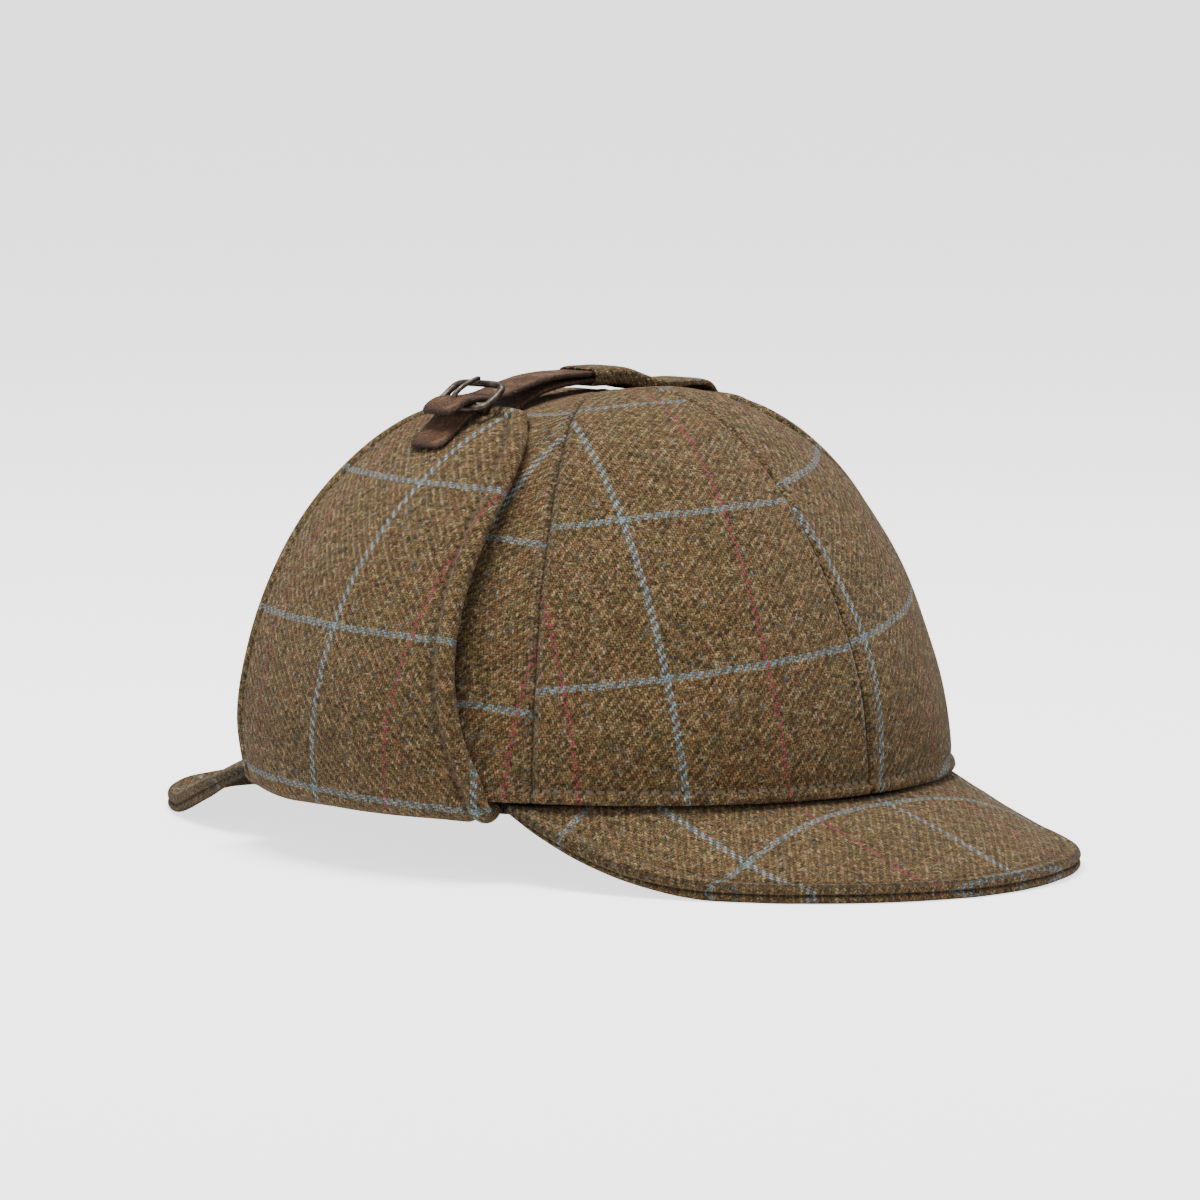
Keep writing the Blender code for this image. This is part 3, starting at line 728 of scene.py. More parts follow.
def flap_face(share, y, out):
    """Where a surface out metres off the crown runs: its place across and up."""
    quarter = share * FLAP_TOP
    across = y / ((CROWN_HALF_LENGTH + out) * math.cos(quarter))
    x = (CROWN_HALF_WIDTH + out) * math.cos(quarter) * math.sqrt(max(1 - across * across, 0.0))
    return x, RIM + (CROWN_HEIGHT + out) * math.sin(quarter) - dent(x, y)


def on_flap(share, y):
    """The same for the middle of the wadding."""
    return flap_face(share, y,
                     CLEARANCE + FLAP_WALL / 2 + FLAP_STAND_OFF * eased_table(share, STANDS))


def flap_middle(u, share):
    """The middle of the wadding; shares below 0 run round the fold to the seam."""
    on_crown = max(share, 0.0)
    half = flap_half(on_crown) * (1 - 0.03 * max(-share / 0.1, 0.0))
    centre = blend((FLAP_BACK + FLAP_FRONT) / 2, STRAP_Y, eased_table(on_crown, FORWARDS))
    y = centre + half * (2 * u - 1)
    if share >= FOLD_END:
        x, z = on_flap(share, y)
        return (x, y, z)
    base = CROWN_HALF_WIDTH * math.sqrt(1 - (y / CROWN_HALF_LENGTH) ** 2)
    stops = [(base + a / 1000, RIM + b / 1000) for a, b in FOLD_ROLL]
    stops += [on_flap(FOLD_END, y), on_flap(0.075, y)]
    x, z = soft_curve(stops, (share + 0.1) / 0.15 * 5 / 6)
    return (x, y, z)


# %% Wadding, swollen by a cloth simulation
SWELL_CAP, SWELL_PRESSURE, SWELL_FRAMES, COARSE = 0.0011, 200.0, 20, 4


def swollen(outer, inner, off, held):
    """How far pressure pushes the outer face along off, at each point of its grid."""
    a, b = outer[::COARSE, ::COARSE], inner[::COARSE, ::COARSE]
    cell = np.arange(a[..., 0].size, dtype=float).reshape(a.shape[:2])
    trial = closed_sheet("wadding_trial", a, b, a[..., :2], flap_tweed, {"cell": cell})
    cells = np.empty(len(trial.data.vertices), dtype=np.float32)
    trial.data.attributes["cell"].data.foreach_get("value", cells)
    cells = cells.round().astype(int)
    still = trial.vertex_groups.new(name="held")
    still.add([i for i, at in enumerate(cells) if held[::COARSE, ::COARSE].flat[at]], 1.0,
              "REPLACE")
    cloth = trial.modifiers.new("wadding", "CLOTH")
    cloth.settings.use_pressure = True
    cloth.settings.uniform_pressure_force = SWELL_PRESSURE
    cloth.settings.vertex_group_mass = "held"
    cloth.settings.effector_weights.gravity = 0.0
    cloth.settings.quality = 6
    cloth.settings.bending_stiffness = 2.0
    cloth.collision_settings.use_collision = False
    cloth.point_cache.frame_end = 24
    for moment in range(1, SWELL_FRAMES + 1):
        bpy.context.scene.frame_set(moment)
    shaped = trial.evaluated_get(bpy.context.evaluated_depsgraph_get()).data
    places = np.empty(len(cells) * 3)
    shaped.vertices.foreach_get("co", places)
    count = cell.size
    moved = np.zeros((count, 3))
    moved[cells[:count]] = places.reshape(-1, 3)[:count] - a.reshape(-1, 3)[cells[:count]]
    push = (moved.reshape(a.shape) * off[::COARSE, ::COARSE]).sum(2)
    push = SWELL_CAP * np.tanh(push / SWELL_CAP)
    bpy.data.objects.remove(trial)
    bpy.context.scene.frame_set(1)
    columns, rows = (np.arange(size) / COARSE for size in outer.shape[:2])
    finer = np.array([np.interp(columns, np.arange(push.shape[0]), line) for line in push.T]).T
    swell = np.array([np.interp(rows, np.arange(push.shape[1]), line) for line in finer])
    print("wadding swells the cloth by", round(float(swell.min()) * 1000, 2), "to",
          round(float(swell.max()) * 1000, 2), "mm")
    return swell


# %% Two padded ear flaps
EDGE_ROLL, FURROW_IN, HELD_WITHIN = 0.0024, 0.0056, 0.0072


def padded_flap(name, side, node, cut):
    fold = np.linspace(FOLD_START, FOLD_END, 26)
    body = np.linspace(FOLD_END, 0.90, 62)[1:]
    cap = 0.90 + 0.10 * np.sin(np.linspace(0, math.pi / 2, 22))[1:]
    shares = np.concatenate([fold, body, cap])
    middle = grid_of(flap_middle, 0.5 - 0.5 * np.cos(np.linspace(0, math.pi, 97)), shares)
    middle[..., 0] *= side
    off = normals_of(middle)
    off *= side * np.sign(off[48, 50, 0])
    reach, along = edge_reach(middle, ("start", "end", "high"))
    half = 0.00012 + (FLAP_WALL / 2 - 0.0001) * rolled(reach, EDGE_ROLL)
    half += 0.00025 * bump_at(reach, 0.0030, 0.0018) - 0.00085 * bump_at(reach, FURROW_IN, 0.0011)
    under_leather = (bump_at(middle[..., 1], STRAP_Y, 0.011)
                     * np.clip((0.070 - np.abs(middle[..., 0])) / 0.008, 0, 1))
    puff = 0.0010 * creases(middle, 0.034, 9.0 + side) + 0.0003 * creases(middle, 0.014, 3.0)
    fade = np.clip((reach - 0.002) / 0.006, 0, 1) * (1 - under_leather)
    outer = middle + off * (half + puff * fade - 0.0003 * under_leather)[..., None]
    inner = middle - off * (half - puff * fade)[..., None]
    held = (reach < HELD_WITHIN) | (np.broadcast_to(shares[None, :], reach.shape) < 0.02)
    outer = outer + off * (swollen(outer, inner, off, held) * fade)[..., None]
    piece = closed_sheet(name, outer, inner, turned(cloth_sizes(outer), *cut), flap_tweed,
                         {"edge": reach, "round_edge": along})
    fitted(piece, "tweed", node)


padded_flap("ear_flap_cloth_right", -1, "ear_flap_right", ((9.0, 2.0), (-0.006, -0.012)))
padded_flap("ear_flap_cloth_left", 1, "ear_flap_left", ((-7.0, -2.0), (0.004, -0.016)))

# %% [markdown]
# ## Inside: lining, sweatband and label
# The crown is lined with black mesh cloth in six gores. A ribbed band lies round the
# opening, with a thin cord in its top edge, and a small folded label is sewn in above it.
# The mesh's holes could be cut, but there are thousands of them, smaller than a stitch, and
# they show only as dark ovals, so the material paints them near-black, as painted shade.

# %% Mesh cloth
HOLE_ACROSS, HOLE_UP = 0.0026, 0.0032
mesh_holes, taken, gives = node_group(
    "mesh cloth holes", {"Cloth": "Vector"}, {"Hole": "Float", "Height": "Float"})
across, up = split(taken["Cloth"])[:2]
reaches = []
for shift in (0.0, 0.5):
    aside = calc("FRACT", across / HOLE_ACROSS + shift) - 0.5
    above = calc("FRACT", up / HOLE_UP + shift) - 0.5
    reaches.append(calc("POWER", aside / 0.20, 2.0) + calc("POWER", above / 0.36, 2.0))
solid = stretched(calc("MINIMUM", *reaches), 0.55, 1.15)
feed(1.0 - solid, gives["Hole"])
feed(solid, gives["Height"])

black_mesh, cloth = new_look("black mesh lining")
holes = use_group(mesh_holes, Cloth=cloth)
seam_row = use_group(stitch_row, Distance=note(black_mesh, "seam"),
                     Along=note(black_mesh, "up_seam"), Place=0.0016, Width=0.0010)
knit = speckle(cloth, 2600.0)
colour = ramp(knit, [(0.3, (0.014, 0.014, 0.015)), (0.7, (0.050, 0.050, 0.053))])
# painted shade: the holes are near-black, standing in for the shade seen through them
colour = mixed(holes["Hole"], colour, (0.0015, 0.0015, 0.0015))
# painted shade: the seam's furrow is darkened
colour = mixed(seam_row["Furrow"], colour, (0.004, 0.004, 0.004))
set_shader(black_mesh, {
    "Base Color": colour, "Roughness": 0.55, "Sheen Weight": 0.15, "Sheen Roughness": 0.4,
    "Normal": relief(holes["Height"] + knit * 0.25 - seam_row["Furrow"], 0.0006)})

# %% The lining
LINING_OUT, LINING_WALL, BAND_TOP = -0.0042, 0.0005, 0.0175
start = 2 / math.pi * math.asin((BAND_TOP - 0.0015) / CROWN_HEIGHT)
turns = np.linspace(0, 2 * math.pi, 241)
rises = np.linspace(start, TOP_SHARE, 70)
dome = grid_of(lambda turn, rise: crown_point(turn, rise, LINING_OUT), turns, rises)
off = off_crown(dome)
gore_share = (turns / GORE_TURN) % 1
plan = np.hypot(dome[..., 0], dome[..., 1])
seam = (np.abs(gore_share - np.round(gore_share)) * math.pi / 3)[:, None] * plan
slack = np.clip((rises - start) / 0.15, 0, 1)[None, :] * np.clip((1 - rises) / 0.1, 0, 1)[None, :]
drop = slack * (0.0012 + 0.0012 * creases(dome, 0.030, 4.0) + 0.0006 * creases(dome, 0.012, 8.0))
drop = np.maximum(drop, 0.0) - 0.0004 * bump_at(seam, 0.0, 0.0018)
dome = dome - off * drop[..., None]
dome[-1] = dome[0]
gore_middle = (np.floor(turns / GORE_TURN - 1e-6) + 0.5) * math.pi / 3
across = (turns - gore_middle)[:, None] * plan
upward = np.broadcast_to(lengths_along(dome[20]), across.shape)
lining = closed_sheet("mesh_lining", dome, dome - off * LINING_WALL,
                      np.stack([across, upward], axis=2), black_mesh,
                      {"seam": seam, "up_seam": upward}, ring=True)
fitted(lining, "mesh_lining", "lining")

# %% Ribbed band
RIB, BAND_WEFT = 0.00085, 0.00042
black_rib, cloth = new_look("black ribbed band")
across, up = split(cloth)[:2]
rib = calc("MULTIPLY_ADD", calc("SINE", across * (2 * math.pi / RIB)), 0.5, 0.5)
thread = calc("SINE", up * (2 * math.pi / BAND_WEFT))
lint = speckle(cloth, 900.0, 3.0)
# painted shade: the black band is darker in the valleys between its ribs, and lint mottles it at
# random
set_shader(black_rib, {
    "Base Color": ramp(calc("MULTIPLY_ADD", lint, 0.5, rib * 0.5), [
        (0.2, (0.0035, 0.0035, 0.0040)), (0.8, (0.0180, 0.0180, 0.0190))]),
    "Normal": relief(calc("MULTIPLY_ADD", thread, 0.12, rib), 0.00025),
    "Roughness": calc("MULTIPLY_ADD", lint, 0.25, 0.50), "Specular IOR Level": 0.20})

# %% The sweatband
BAND_WALL, BAND_ROWS = 0.0009, 22
turns = np.linspace(0, 2 * math.pi, 289)
heights = np.linspace(RIM - 0.0038, RIM + BAND_TOP, BAND_ROWS)


def band_place(turn, height, inset=0.0):
    lean = math.sqrt(1 - (max(height - RIM, 0.0) / CROWN_HEIGHT) ** 2)
    half_width, half_length = HEAD_WIDTH / 2 - inset, HEAD_LENGTH / 2 - inset
    return (half_width * lean * math.sin(turn), -half_length * lean * math.cos(turn), height)


face = grid_of(band_place, turns, heights)
outward = face * np.array((1, 1, 0))
outward /= np.linalg.norm(outward, axis=2, keepdims=True)
swell = 0.0004 * np.sin(np.linspace(0, math.pi, BAND_ROWS))[None, :]
face = face - outward * (0.0003 * creases(face, 0.025, 7.0) + swell)[..., None]
face[-1] = face[0]
round_band = lengths_along(face[:, 8])
flat = np.stack(np.broadcast_arrays(round_band[:, None], heights[None, :]), axis=2)
sweatband = closed_sheet("ribbed_sweatband", face + outward * BAND_WALL, face, flat, black_rib,
                         ring=True)
fitted(sweatband, "ribbed_band", "sweatband")


# %% The cord in its top edge
def round_cord(name, path, radius, look, sides=10, steps=288, squash=1.0):
    """A round cord along a closed path: a ring is spun, then bent onto the path."""
    bm = bmesh.new()
    circle = bmesh.ops.create_circle(bm, segments=sides, radius=radius)
    for corner in circle["verts"]:
        corner.co = (1.0 + corner.co.x, 0.0, corner.co.y * squash)
    bmesh.ops.spin(bm, geom=bm.verts[:] + bm.edges[:], cent=(0, 0, 0), axis=(0, 0, 1),
                   angle=2 * math.pi, steps=steps, use_merge=True)
    for corner in bm.verts:
        place, out, up = path(math.atan2(corner.co.y, corner.co.x))
        corner.co = place + out * (math.hypot(corner.co.x, corner.co.y) - 1.0) + up * corner.co.z
    bmesh.ops.remove_doubles(bm, verts=bm.verts[:], dist=1e-7)
    return closed(name, bm, look)


def band_edge(turn):
    place = Vector(band_place(turn, RIM + BAND_TOP, 0.0003))
    return place, Vector((place.x, place.y, 0)).normalized(), Vector((0, 0, 1))


black_cord, where = new_look("black cord", on_object=True)
grain = speckle(where, 1500.0, 3.0)
set_shader(black_cord, {
    "Base Color": ramp(grain, [(0.3, (0.0054, 0.0054, 0.00585)), (0.7, (0.012, 0.012, 0.013))]),
    "Normal": relief(grain, 0.0003), "Roughness": 0.6})
fitted(round_cord("sweatband_cord", band_edge, 0.0009, black_cord), "ribbed_band")

# %% [markdown]
# ## The label
# The label is a short loop of pale woven ribbon, folded over and left blank. A flat card
# would look pasted on, so a strip is bent over its fold and its free edge stands off.

# %% A folded label
LABEL_Y, LABEL_WIDTH, LABEL_HEIGHT, LABEL_HALF, LABEL_RIB = 0.010, 0.016, 0.012, 0.00018, 0.00036
grey_ribbon, cloth = new_look("grey ribbon")
rib = calc("SINE", split(cloth)[0] * (2 * math.pi / LABEL_RIB))
lint = speckle(cloth, 700.0, 3.0)
set_shader(grey_ribbon, {
    "Base Color": ramp(lint, [(0.25, (0.66, 0.66, 0.67)), (0.75, (0.84, 0.84, 0.85))]),
    "Normal": relief(calc("MULTIPLY_ADD", lint, 0.8, rib), 0.00012),
    "Roughness": 0.62, "Sheen Weight": 0.15})


def label_place(u, v):
    """v runs up the front layer, over the fold and down behind it."""
    y = LABEL_Y + LABEL_WIDTH * (u - 0.5)
    up = LABEL_HEIGHT * math.sin(math.pi * min(max(v, 0.0), 1.0)) ** 0.55
    out = LINING_OUT - 0.0020 - 0.0011 * math.cos(math.pi * v) * math.sin(math.pi * v) ** 0.4
    height = BAND_TOP + 0.0004 + up
    lean = math.sqrt(1 - (height / (CROWN_HEIGHT + out)) ** 2)
    across = y / ((CROWN_HALF_LENGTH + out) * lean)
    x = (CROWN_HALF_WIDTH + out) * lean * math.sqrt(1 - across * across)
    return (x - 0.0012 * (1 - u) ** 3, y, RIM + height)


middle = grid_of(label_place, np.linspace(0, 1, 17), np.linspace(0, 1, 41))
off = normals_of(middle)
label = closed_sheet("folded_label", middle + off * LABEL_HALF, middle - off * LABEL_HALF,
                     cloth_sizes(middle), grey_ribbon)
fitted(label, "label_cloth", "label")

# %% [markdown]
# ## The strap over the top
# A doubled strap of brown leather comes out of a cloth tab at the top and goes under the
# front of the buckle and over its bar. Under it, the leather that is sewn on the flap turns
# up round the bar and holds it. The leather is worn and matt, with darker, rounded cut
# edges. It follows the route of the solids, and its grain comes from a cell pattern of pores
# with finer wrinkles over it.


# %% Places over the crown and the flap
def off_profile(profile, where, lift):
    """A place lift metres off a profile of places across and up, on the strap's line."""
    x0, z0 = profile(where - 1e-4)
    x1, z1 = profile(where + 1e-4)
    turn = math.copysign(lift / math.hypot(x1 - x0, z1 - z0), x1 - x0)
    x, z = profile(where)
    return np.array((x - (z1 - z0) * turn, STRAP_Y, z + (x1 - x0) * turn))


def over_crown(x, lift):
    def profile(at):
        radius = math.hypot(at / CROWN_HALF_WIDTH, STRAP_Y / CROWN_HALF_LENGTH)
        height = CROWN_HEIGHT * math.sqrt(max(1 - radius ** 2, 0.0))
        return at, RIM + height - dent(at, STRAP_Y)
    return off_profile(profile, x, lift)


def over_flap(x, lift):
    side = math.copysign(1.0, x)

    def face(share):
        out = CLEARANCE + FLAP_WALL + FLAP_STAND_OFF * float(np.interp(share, RISES, STANDS))
        place = flap_face(share, STRAP_Y, out)
        return side * place[0], place[1]
    low, high = 0.0, 1.0
    for _ in range(40):
        middle = (low + high) / 2
        if abs(face(middle)[0]) > abs(x):
            low = middle
        else:
            high = middle
    return off_profile(face, low, lift)


def strap_line(stops, count):
    """A smooth line through stops on the strap's line, and the direction off it."""
    path = np.array([soft_curve(stops, share) for share in np.linspace(0, 1, count)])
    run = np.gradient(path, axis=0)
    run /= np.linalg.norm(run, axis=1, keepdims=True)
    return path, np.stack([-run[:, 2], np.zeros(count), run[:, 0]], axis=1)


# %% Leather
leather_grain, taken, gives = node_group(
    "leather grain", {"Place": "Vector", "Edge": "Float"},
    {"Color": "Color", "Height": "Float", "Roughness": "Float"})
pores = Signal(new_node("TexVoronoi", {"Vector": taken["Place"], "Scale": 1500.0},
                        feature="DISTANCE_TO_EDGE").outputs["Distance"])
wrinkles = speckle(taken["Place"], 520.0, 5.0, 0.70, 0.6)
stain = speckle(taken["Place"], 160.0, 3.0)
tan = ramp(calc("MULTIPLY_ADD", wrinkles, 0.5, stain * 0.5), [
    (0.34, (0.024, 0.008, 0.002)), (0.50, (0.100, 0.041, 0.013)), (0.66, (0.250, 0.128, 0.056))])
cut_edge = 1.0 - stretched(taken["Edge"], 0.0003, 0.0020)
feed(mixed(cut_edge * 0.80, tan, (0.022, 0.009, 0.004)), gives["Color"])
feed(calc("MULTIPLY_ADD", wrinkles, 1.2, stretched(pores, 0.0, 0.25)), gives["Height"])
feed(calc("MULTIPLY_ADD", wrinkles, 0.30, 0.42), gives["Roughness"])

strap_brown, cloth = new_look("brown strap leather")
grain = use_group(leather_grain, Place=cloth, Edge=note(strap_brown, "edge"))
set_shader(strap_brown, {
    "Base Color": grain["Color"], "Roughness": grain["Roughness"], "Specular IOR Level": 0.28,
    "Normal": relief(grain["Height"], 0.0005)})

# %% A flat band of leather
BAND_STEPS, BAND_ACROSS = 90, 25


def flat_band(name, stops, width, wall, look, round_end=0.0):
    """A flat band that follows stops on the strap's line, wall thick outwards."""
    path, upward = strap_line(stops, BAND_STEPS)
    across = np.sin(np.linspace(-math.pi / 2, math.pi / 2, BAND_ACROSS)) / 2
    narrow = np.ones(BAND_STEPS)
    if round_end:
        close = np.maximum(lengths_along(path), 0.02 * round_end)
        narrow = rolled(close, round_end) * 0.35 + 0.65
    middle = np.repeat(path[None] + upward[None] * wall / 2, BAND_ACROSS, axis=0)
    middle[..., 1] += across[:, None] * width * narrow[None, :]
    reach, along = edge_reach(middle, ("start", "end", "low"))
    half = wall / 2 * (0.25 + 0.75 * rolled(reach, wall * 0.55))
    wave = 0.00012 * creases(middle, 0.006, 5.0)
    off = normals_of(middle)
    off *= np.sign((off[12, 40] * upward[40]).sum())
    return closed_sheet(name, middle + off * (half + wave)[..., None],
                        middle - off * (half - wave)[..., None], cloth_sizes(middle), look,
                        {"edge": reach, "round_edge": along})


# %% The two layers of the strap, and the leather round the bar
STRAP_WIDTH, STRAP_WALL, STRAP_RISE, CHAPE_WALL, END_ROUND = 0.013, 0.0015, 0.0026, 0.0012, 0.004
BUCKLE_X, BUCKLE_LENGTH, BAR_RADIUS = -0.0420, 0.0115, 0.0011
BAR_X, FRONT_X = BUCKLE_X - BUCKLE_LENGTH / 2, BUCKLE_X + BUCKLE_LENGTH / 2
BAR_LIFT = 3 * CLEARANCE + STRAP_WALL + BAR_RADIUS
OVER_BAR_LIFT = BAR_LIFT + BAR_RADIUS + CLEARANCE
MOUTH_X, TAB_LAP = -0.002, 0.012
SECOND_RISE = STRAP_RISE + (STRAP_WALL + CLEARANCE)
bridge_x = (MOUTH_X - FLAP_TIP_X) / 2
lower_stops = [over_crown(0.0024 - FLAP_TIP_X, 2 * CLEARANCE), over_crown(bridge_x, STRAP_RISE),
               over_crown(MOUTH_X, STRAP_RISE), over_crown(MOUTH_X + TAB_LAP, STRAP_RISE)]
upper_stops = [over_flap(BAR_X - 0.006, OVER_BAR_LIFT + CLEARANCE),
               over_flap(BAR_X, OVER_BAR_LIFT), over_flap(FRONT_X, 2 * CLEARANCE),
               over_crown(bridge_x, SECOND_RISE + 3 * CLEARANCE),
               over_crown(MOUTH_X, SECOND_RISE), over_crown(MOUTH_X + TAB_LAP, SECOND_RISE)]
under_strap = flat_band("strap_under_layer", lower_stops, STRAP_WIDTH, STRAP_WALL, strap_brown)
fitted(under_strap, "strap_leather", "strap_lower_layer")
top_strap = flat_band("leather_strap", upper_stops, STRAP_WIDTH, STRAP_WALL, strap_brown,
                      END_ROUND)
fitted(top_strap, "strap_leather", "strap")
bar = Vector(over_flap(BAR_X, BAR_LIFT))
front = Vector(over_flap(FRONT_X, BAR_LIFT + 0.0018))
frame_run = (front - bar).normalized()
frame_up = Vector((-frame_run.z, 0, frame_run.x))
round_bar = BAR_RADIUS + CHAPE_WALL + 0.0001
chape_stops = [over_flap(BAR_X - 0.013, CLEARANCE), over_flap(BAR_X - 0.0075, CLEARANCE)]
for lean in (-125, -90, -55, -20, 15):
    chape_stops.append(bar + frame_run * (round_bar * math.cos(math.radians(lean)))
                       + frame_up * (round_bar * math.sin(math.radians(lean))))
chape = flat_band("buckle_chape", chape_stops, STRAP_WIDTH, CHAPE_WALL, strap_brown, END_ROUND)
fitted(chape, "strap_leather", "chape")

# %% [markdown]
# ## The cloth tab
# The tab is a sleeve of the same tweed, sewn on the left flap's tip. The strap's end is
# stitched inside it. Past the strap the sleeve closes and lies flat on the flap. A folded
# strip would leave its sides open, so a tube is bent along the strap's line instead.

# %% A sleeve round the strap's end
SLEEVE_STEPS, SLEEVE_ROUND, SLEEVE_SQUARE, SLEEVE_WALL = 80, 65, 4.5, 0.00095


def sleeve_half_width(share):
    return blend(0.0078, 0.0084, ease(share))


def sleeve_half_height(share):
    return blend(0.00270, 0.00105, ease((share - 0.33) / 0.30))


def sleeve(name, stops, look):
    """A flattened tube along stops. The halves are read at each share of its length."""
    shares = np.linspace(0, 1, SLEEVE_STEPS)
    path, upward = strap_line(stops, SLEEVE_STEPS)
    turns = np.linspace(0, 2 * math.pi, SLEEVE_ROUND)
    c, s = np.cos(turns - math.pi / 2), np.sin(turns - math.pi / 2)
    size = rounded_square(c, s, SLEEVE_SQUARE)
    widths = np.array([sleeve_half_width(share) for share in shares])
    heights = np.array([sleeve_half_height(share) for share in shares])
    faces = []
    for less in (0.0, SLEEVE_WALL):
        above = np.maximum(heights - less, 0.00006)
        face = path[None] + upward[None] * ((s * size)[:, None] * above[None, :])[..., None]
        face[..., 1] += (c * size)[:, None] * (widths - less)[None, :]
        face[-1] = face[0]
        faces.append(face)
    outer, inner = faces
    reach, along = edge_reach(outer, ("low", "high"))
    beside = (1 - np.abs(c * size))[:, None] * widths[None, :]
    inwards = path[None] - outer
    inwards /= np.linalg.norm(inwards, axis=2, keepdims=True)
    outer = outer + inwards * (0.0004 * bump_at(reach, 0.0, 0.0008)[..., None])
    return closed_sheet(
        name, outer, inner, turned(cloth_sizes(outer), (0.0, 0.0), (0.012, 0.006)), look,
        {"edge": reach, "round_edge": along, "side": beside,
         "up_side": np.broadcast_to(lengths_along(path), beside.shape)}, ring=True)


strap_middle = STRAP_RISE + STRAP_WALL + CLEARANCE / 2
tab_stops = [over_crown(MOUTH_X, strap_middle), over_crown(MOUTH_X + TAB_LAP / 2, strap_middle),
             over_crown(MOUTH_X + TAB_LAP, strap_middle), over_crown(0.0230, 0.0032),
             over_flap(FLAP_TIP_X + 0.0035, 0.0024), over_flap(FLAP_TIP_X + 0.0090, 0.0010),
             over_flap(FLAP_TIP_X + 0.0140, 0.0003)]
tab_tweed = tweed_cloth("tab tweed", [
    ("edge", "round_edge", 0.0024, 0.0008, 0.5, SUNK_THREAD, 0.5),
    ("side", "up_side", 0.0021, 0.0008, 0.5, SUNK_THREAD, 0.5)])
fitted(sleeve("strap_tab_cloth", tab_stops, tab_tweed), "tweed", "strap_tab")

# %% [markdown]
# ## The buckle
# The buckle is a bent wire frame in dark antique bronze. Handling has rubbed its high
# edges brighter. A ring is spun and then bent onto a rounded rectangle, which keeps its
# section even round the corners. The prong is a slim cone, bent to come up from the bar
# through the strap and to lie over the front of the frame.

# %% Antique bronze and the frame
bronze, where = new_look("antique bronze", on_object=True)
patina = speckle(where, 320.0, 5.0, 0.6)
scratches = speckle(where, 1400.0)
high_edge = Signal(bronze.node_tree.nodes.new("ShaderNodeNewGeometry").outputs["Pointiness"])
worn = stretched(calc("MULTIPLY_ADD", patina, 0.12, high_edge), 0.58, 0.66)
dark = ramp(patina, [(0.3, (0.022, 0.017, 0.014)), (0.7, (0.085, 0.066, 0.053))])
set_shader(bronze, {
    "Base Color": mixed(worn * 0.7, dark, (0.24, 0.19, 0.15)), "Metallic": 0.85,
    "Roughness": calc("MULTIPLY_ADD", scratches, 0.3, 0.34),
    "Normal": relief(patina + scratches, 0.0001)})

FRAME_HALF_LENGTH, FRAME_HALF_WIDTH, FRAME_SQUARE = (front - bar).length / 2, 0.0095, 5.0
SIDEWAYS = Vector((0, 1, 0))


def frame_path(turn):
    """A rounded rectangle, with the direction off it."""
    c, s = math.cos(turn), math.sin(turn)
    size = rounded_square(c, s, FRAME_SQUARE)
    along, aside = c * size, s * size
    place = ((bar + front) / 2 + frame_run * (along * FRAME_HALF_LENGTH)
             + SIDEWAYS * (aside * FRAME_HALF_WIDTH) - frame_up * (0.0006 * (1 - along * along)))
    power = FRAME_SQUARE - 1
    out = frame_run * (math.copysign(abs(along) ** power, along) / FRAME_HALF_LENGTH)
    out += SIDEWAYS * (math.copysign(abs(aside) ** power, aside) / FRAME_HALF_WIDTH)
    return place, out.normalized(), frame_up


buckle = round_cord("buckle_ring", frame_path, 0.00105, bronze, sides=16, steps=160, squash=0.85)
fitted(buckle, "buckle_metal", "buckle_frame")

# %% The prong
PRONG_FOOT, PRONG_TIP, PRONG_SIDES, PRONG_CUTS = 0.00080, 0.00055, 14, 31
PRONG_STOPS = [over_flap(x, BAR_LIFT + lift) for x, lift in (
    (BAR_X - 0.0004, 0.0012), (BAR_X + 0.0008, 0.0032), (BAR_X + 0.0040, 0.0039),
    (FRONT_X - 0.0030, 0.0038), (FRONT_X + 0.0008, 0.0034))]
bm = bmesh.new()
bmesh.ops.create_cone(bm, cap_ends=True, segments=PRONG_SIDES, radius1=PRONG_FOOT,
                      radius2=PRONG_TIP, depth=1.0)
long_edges = [e for e in bm.edges if abs(e.verts[0].co.z - e.verts[1].co.z) > 0.5]
bmesh.ops.subdivide_edges(bm, edges=long_edges, cuts=PRONG_CUTS)
for corner in bm.verts:
    share = corner.co.z + 0.5
    run = soft_curve(PRONG_STOPS, share + 0.01) - soft_curve(PRONG_STOPS, share - 0.01)
    up = Vector((-run[2], 0, run[0])).normalized()
    slim = math.sqrt(max(1 - max((share - 0.94) / 0.065, 0.0) ** 2, 0.0))
    corner.co = (Vector(soft_curve(PRONG_STOPS, share)) + up * (corner.co.x * slim)
                 + SIDEWAYS * (corner.co.y * slim))
fitted(closed("buckle_tongue", bm, bronze), "buckle_metal", "buckle_prong")

# %% [markdown]
# ## The studio
# The hat rests on a wide pale floor that runs on to the horizon, so every side can be looked
# at. A broad soft light hangs overhead, and a weaker one fills the front. The floor glows,
# mostly to the camera, which keeps it pale without much more light on the hat. Its lower
# side lets a view from below through, so that the lining can be seen as well.

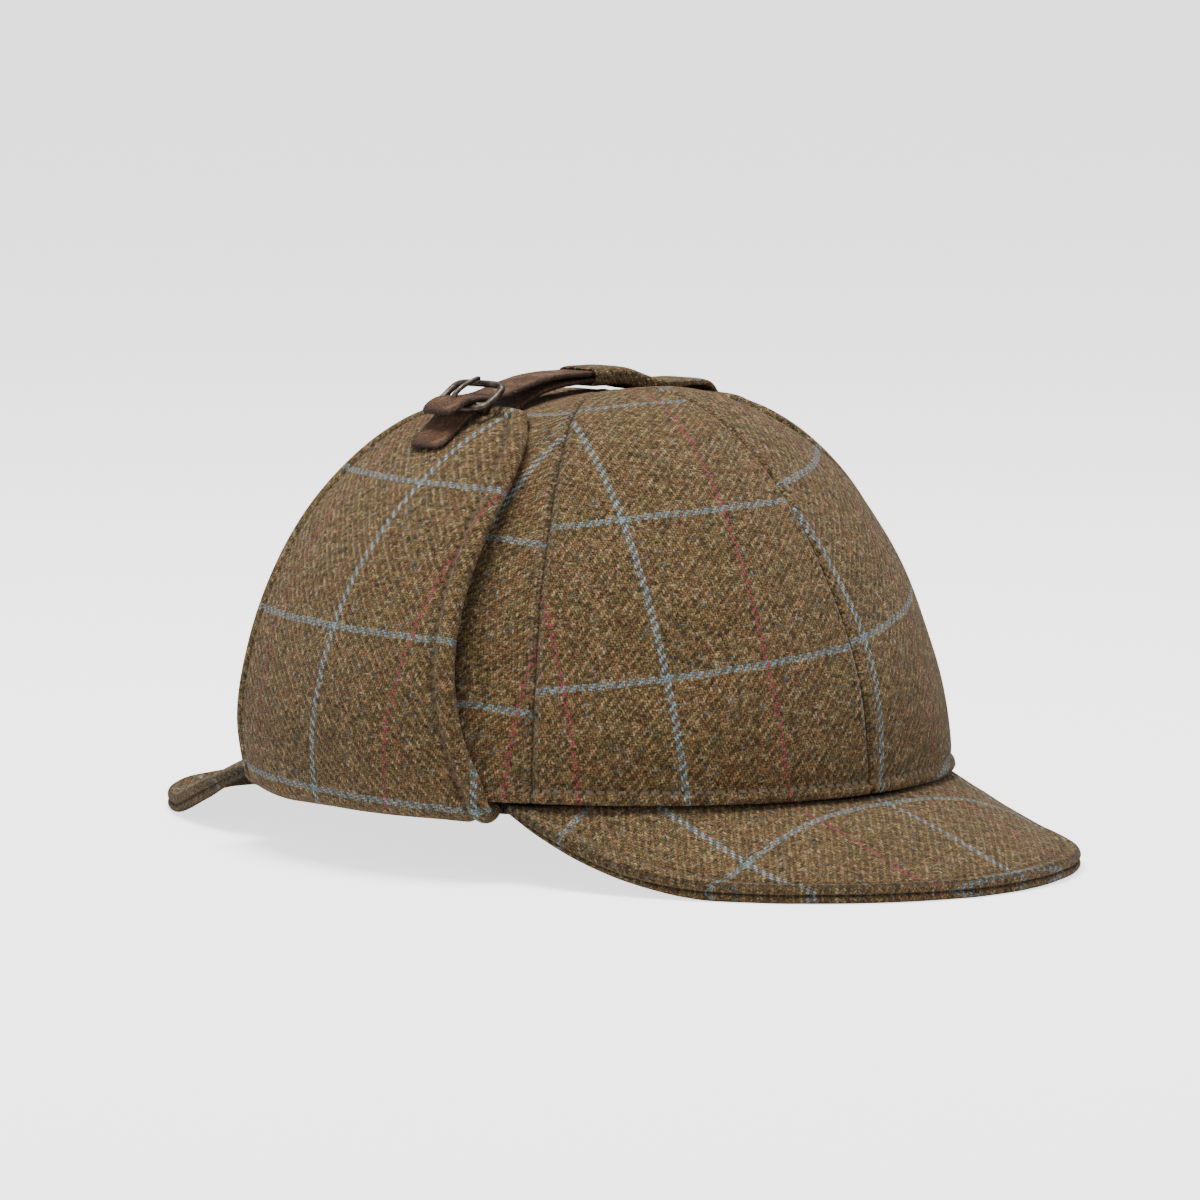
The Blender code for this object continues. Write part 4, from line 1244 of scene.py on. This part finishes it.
# %% Floor
pale_paper, where = new_look("pale paper", on_object=True)
nodes = pale_paper.node_tree.nodes
seen = Signal(nodes.new("ShaderNodeLightPath").outputs["Is Camera Ray"])
paper = ramp(speckle(where, 4.0), [(0.3, (0.78, 0.78, 0.78)), (0.7, (0.80, 0.80, 0.80))])
set_shader(pale_paper, {
    "Base Color": paper, "Roughness": 0.9, "Specular IOR Level": 0.1,
    "Emission Color": (1.0, 1.0, 1.0),
    "Emission Strength": calc("MULTIPLY_ADD", seen, 1.50, 0.28)})
sides = new_node("MixShader", {
    0: Signal(nodes.new("ShaderNodeNewGeometry").outputs["Backfacing"]),
    1: Signal(nodes["Principled BSDF"].outputs[0]),
    2: Signal(nodes.new("ShaderNodeBsdfTransparent").outputs[0])})
feed(Signal(sides.outputs[0]), nodes["Material Output"].inputs["Surface"])
bm = bmesh.new()
bmesh.ops.create_circle(bm, cap_ends=True, segments=96, radius=40.0)
floor = placed("studio_floor", bm, pale_paper)

# %% Air and lights
world = bpy.data.worlds.new("studio air")
bpy.context.scene.world = world
world.use_nodes = True
world.node_tree.nodes["Background"].inputs[0].default_value = (1.0, 1.0, 1.0, 1.0)
world.node_tree.nodes["Background"].inputs[1].default_value = 0.60


def soft_light(name, place, aim, size, power):
    data = bpy.data.lights.new(name, "AREA")
    data.shape = "DISK"
    data.size = size
    data.energy = power
    lamp = bpy.data.objects.new(name, data)
    lamp.location = place
    lamp.rotation_euler = (Vector(aim) - Vector(place)).to_track_quat("-Z", "Y").to_euler()
    bpy.context.scene.collection.objects.link(lamp)
    print(name, power, "watts from a disk", size, "m wide")


soft_light("top_light", (-0.10, 0.10, 1.7), (0, 0, 0.08), 0.9, 58.0)
soft_light("front_fill", (-0.6, -1.9, 0.9), (0, 0, 0.05), 1.2, 8.0)

# %% [markdown]
# ## The camera
# A camera two metres away with a long lens gives the flat view of a product picture. It
# sees the hat from the front right, as the photograph does, but from just above the floor.

# %% Camera
CAMERA_TURN, CAMERA_RISE, CAMERA_FAR = -45.3, 6.0, 2.0
turn, rise = math.radians(CAMERA_TURN), math.radians(CAMERA_RISE)
back = Vector((math.sin(turn) * math.cos(rise), -math.cos(turn) * math.cos(rise), math.sin(rise)))
camera = bpy.data.objects.new("camera", bpy.data.cameras.new("camera"))
camera.data.lens = 217.0
camera.data.sensor_width = 36.0
camera.location = Vector((0, 0, 0.066)) + back * CAMERA_FAR
camera.rotation_euler = (-back).to_track_quat("-Z", "Y").to_euler()
bpy.context.scene.collection.objects.link(camera)
bpy.context.scene.camera = camera
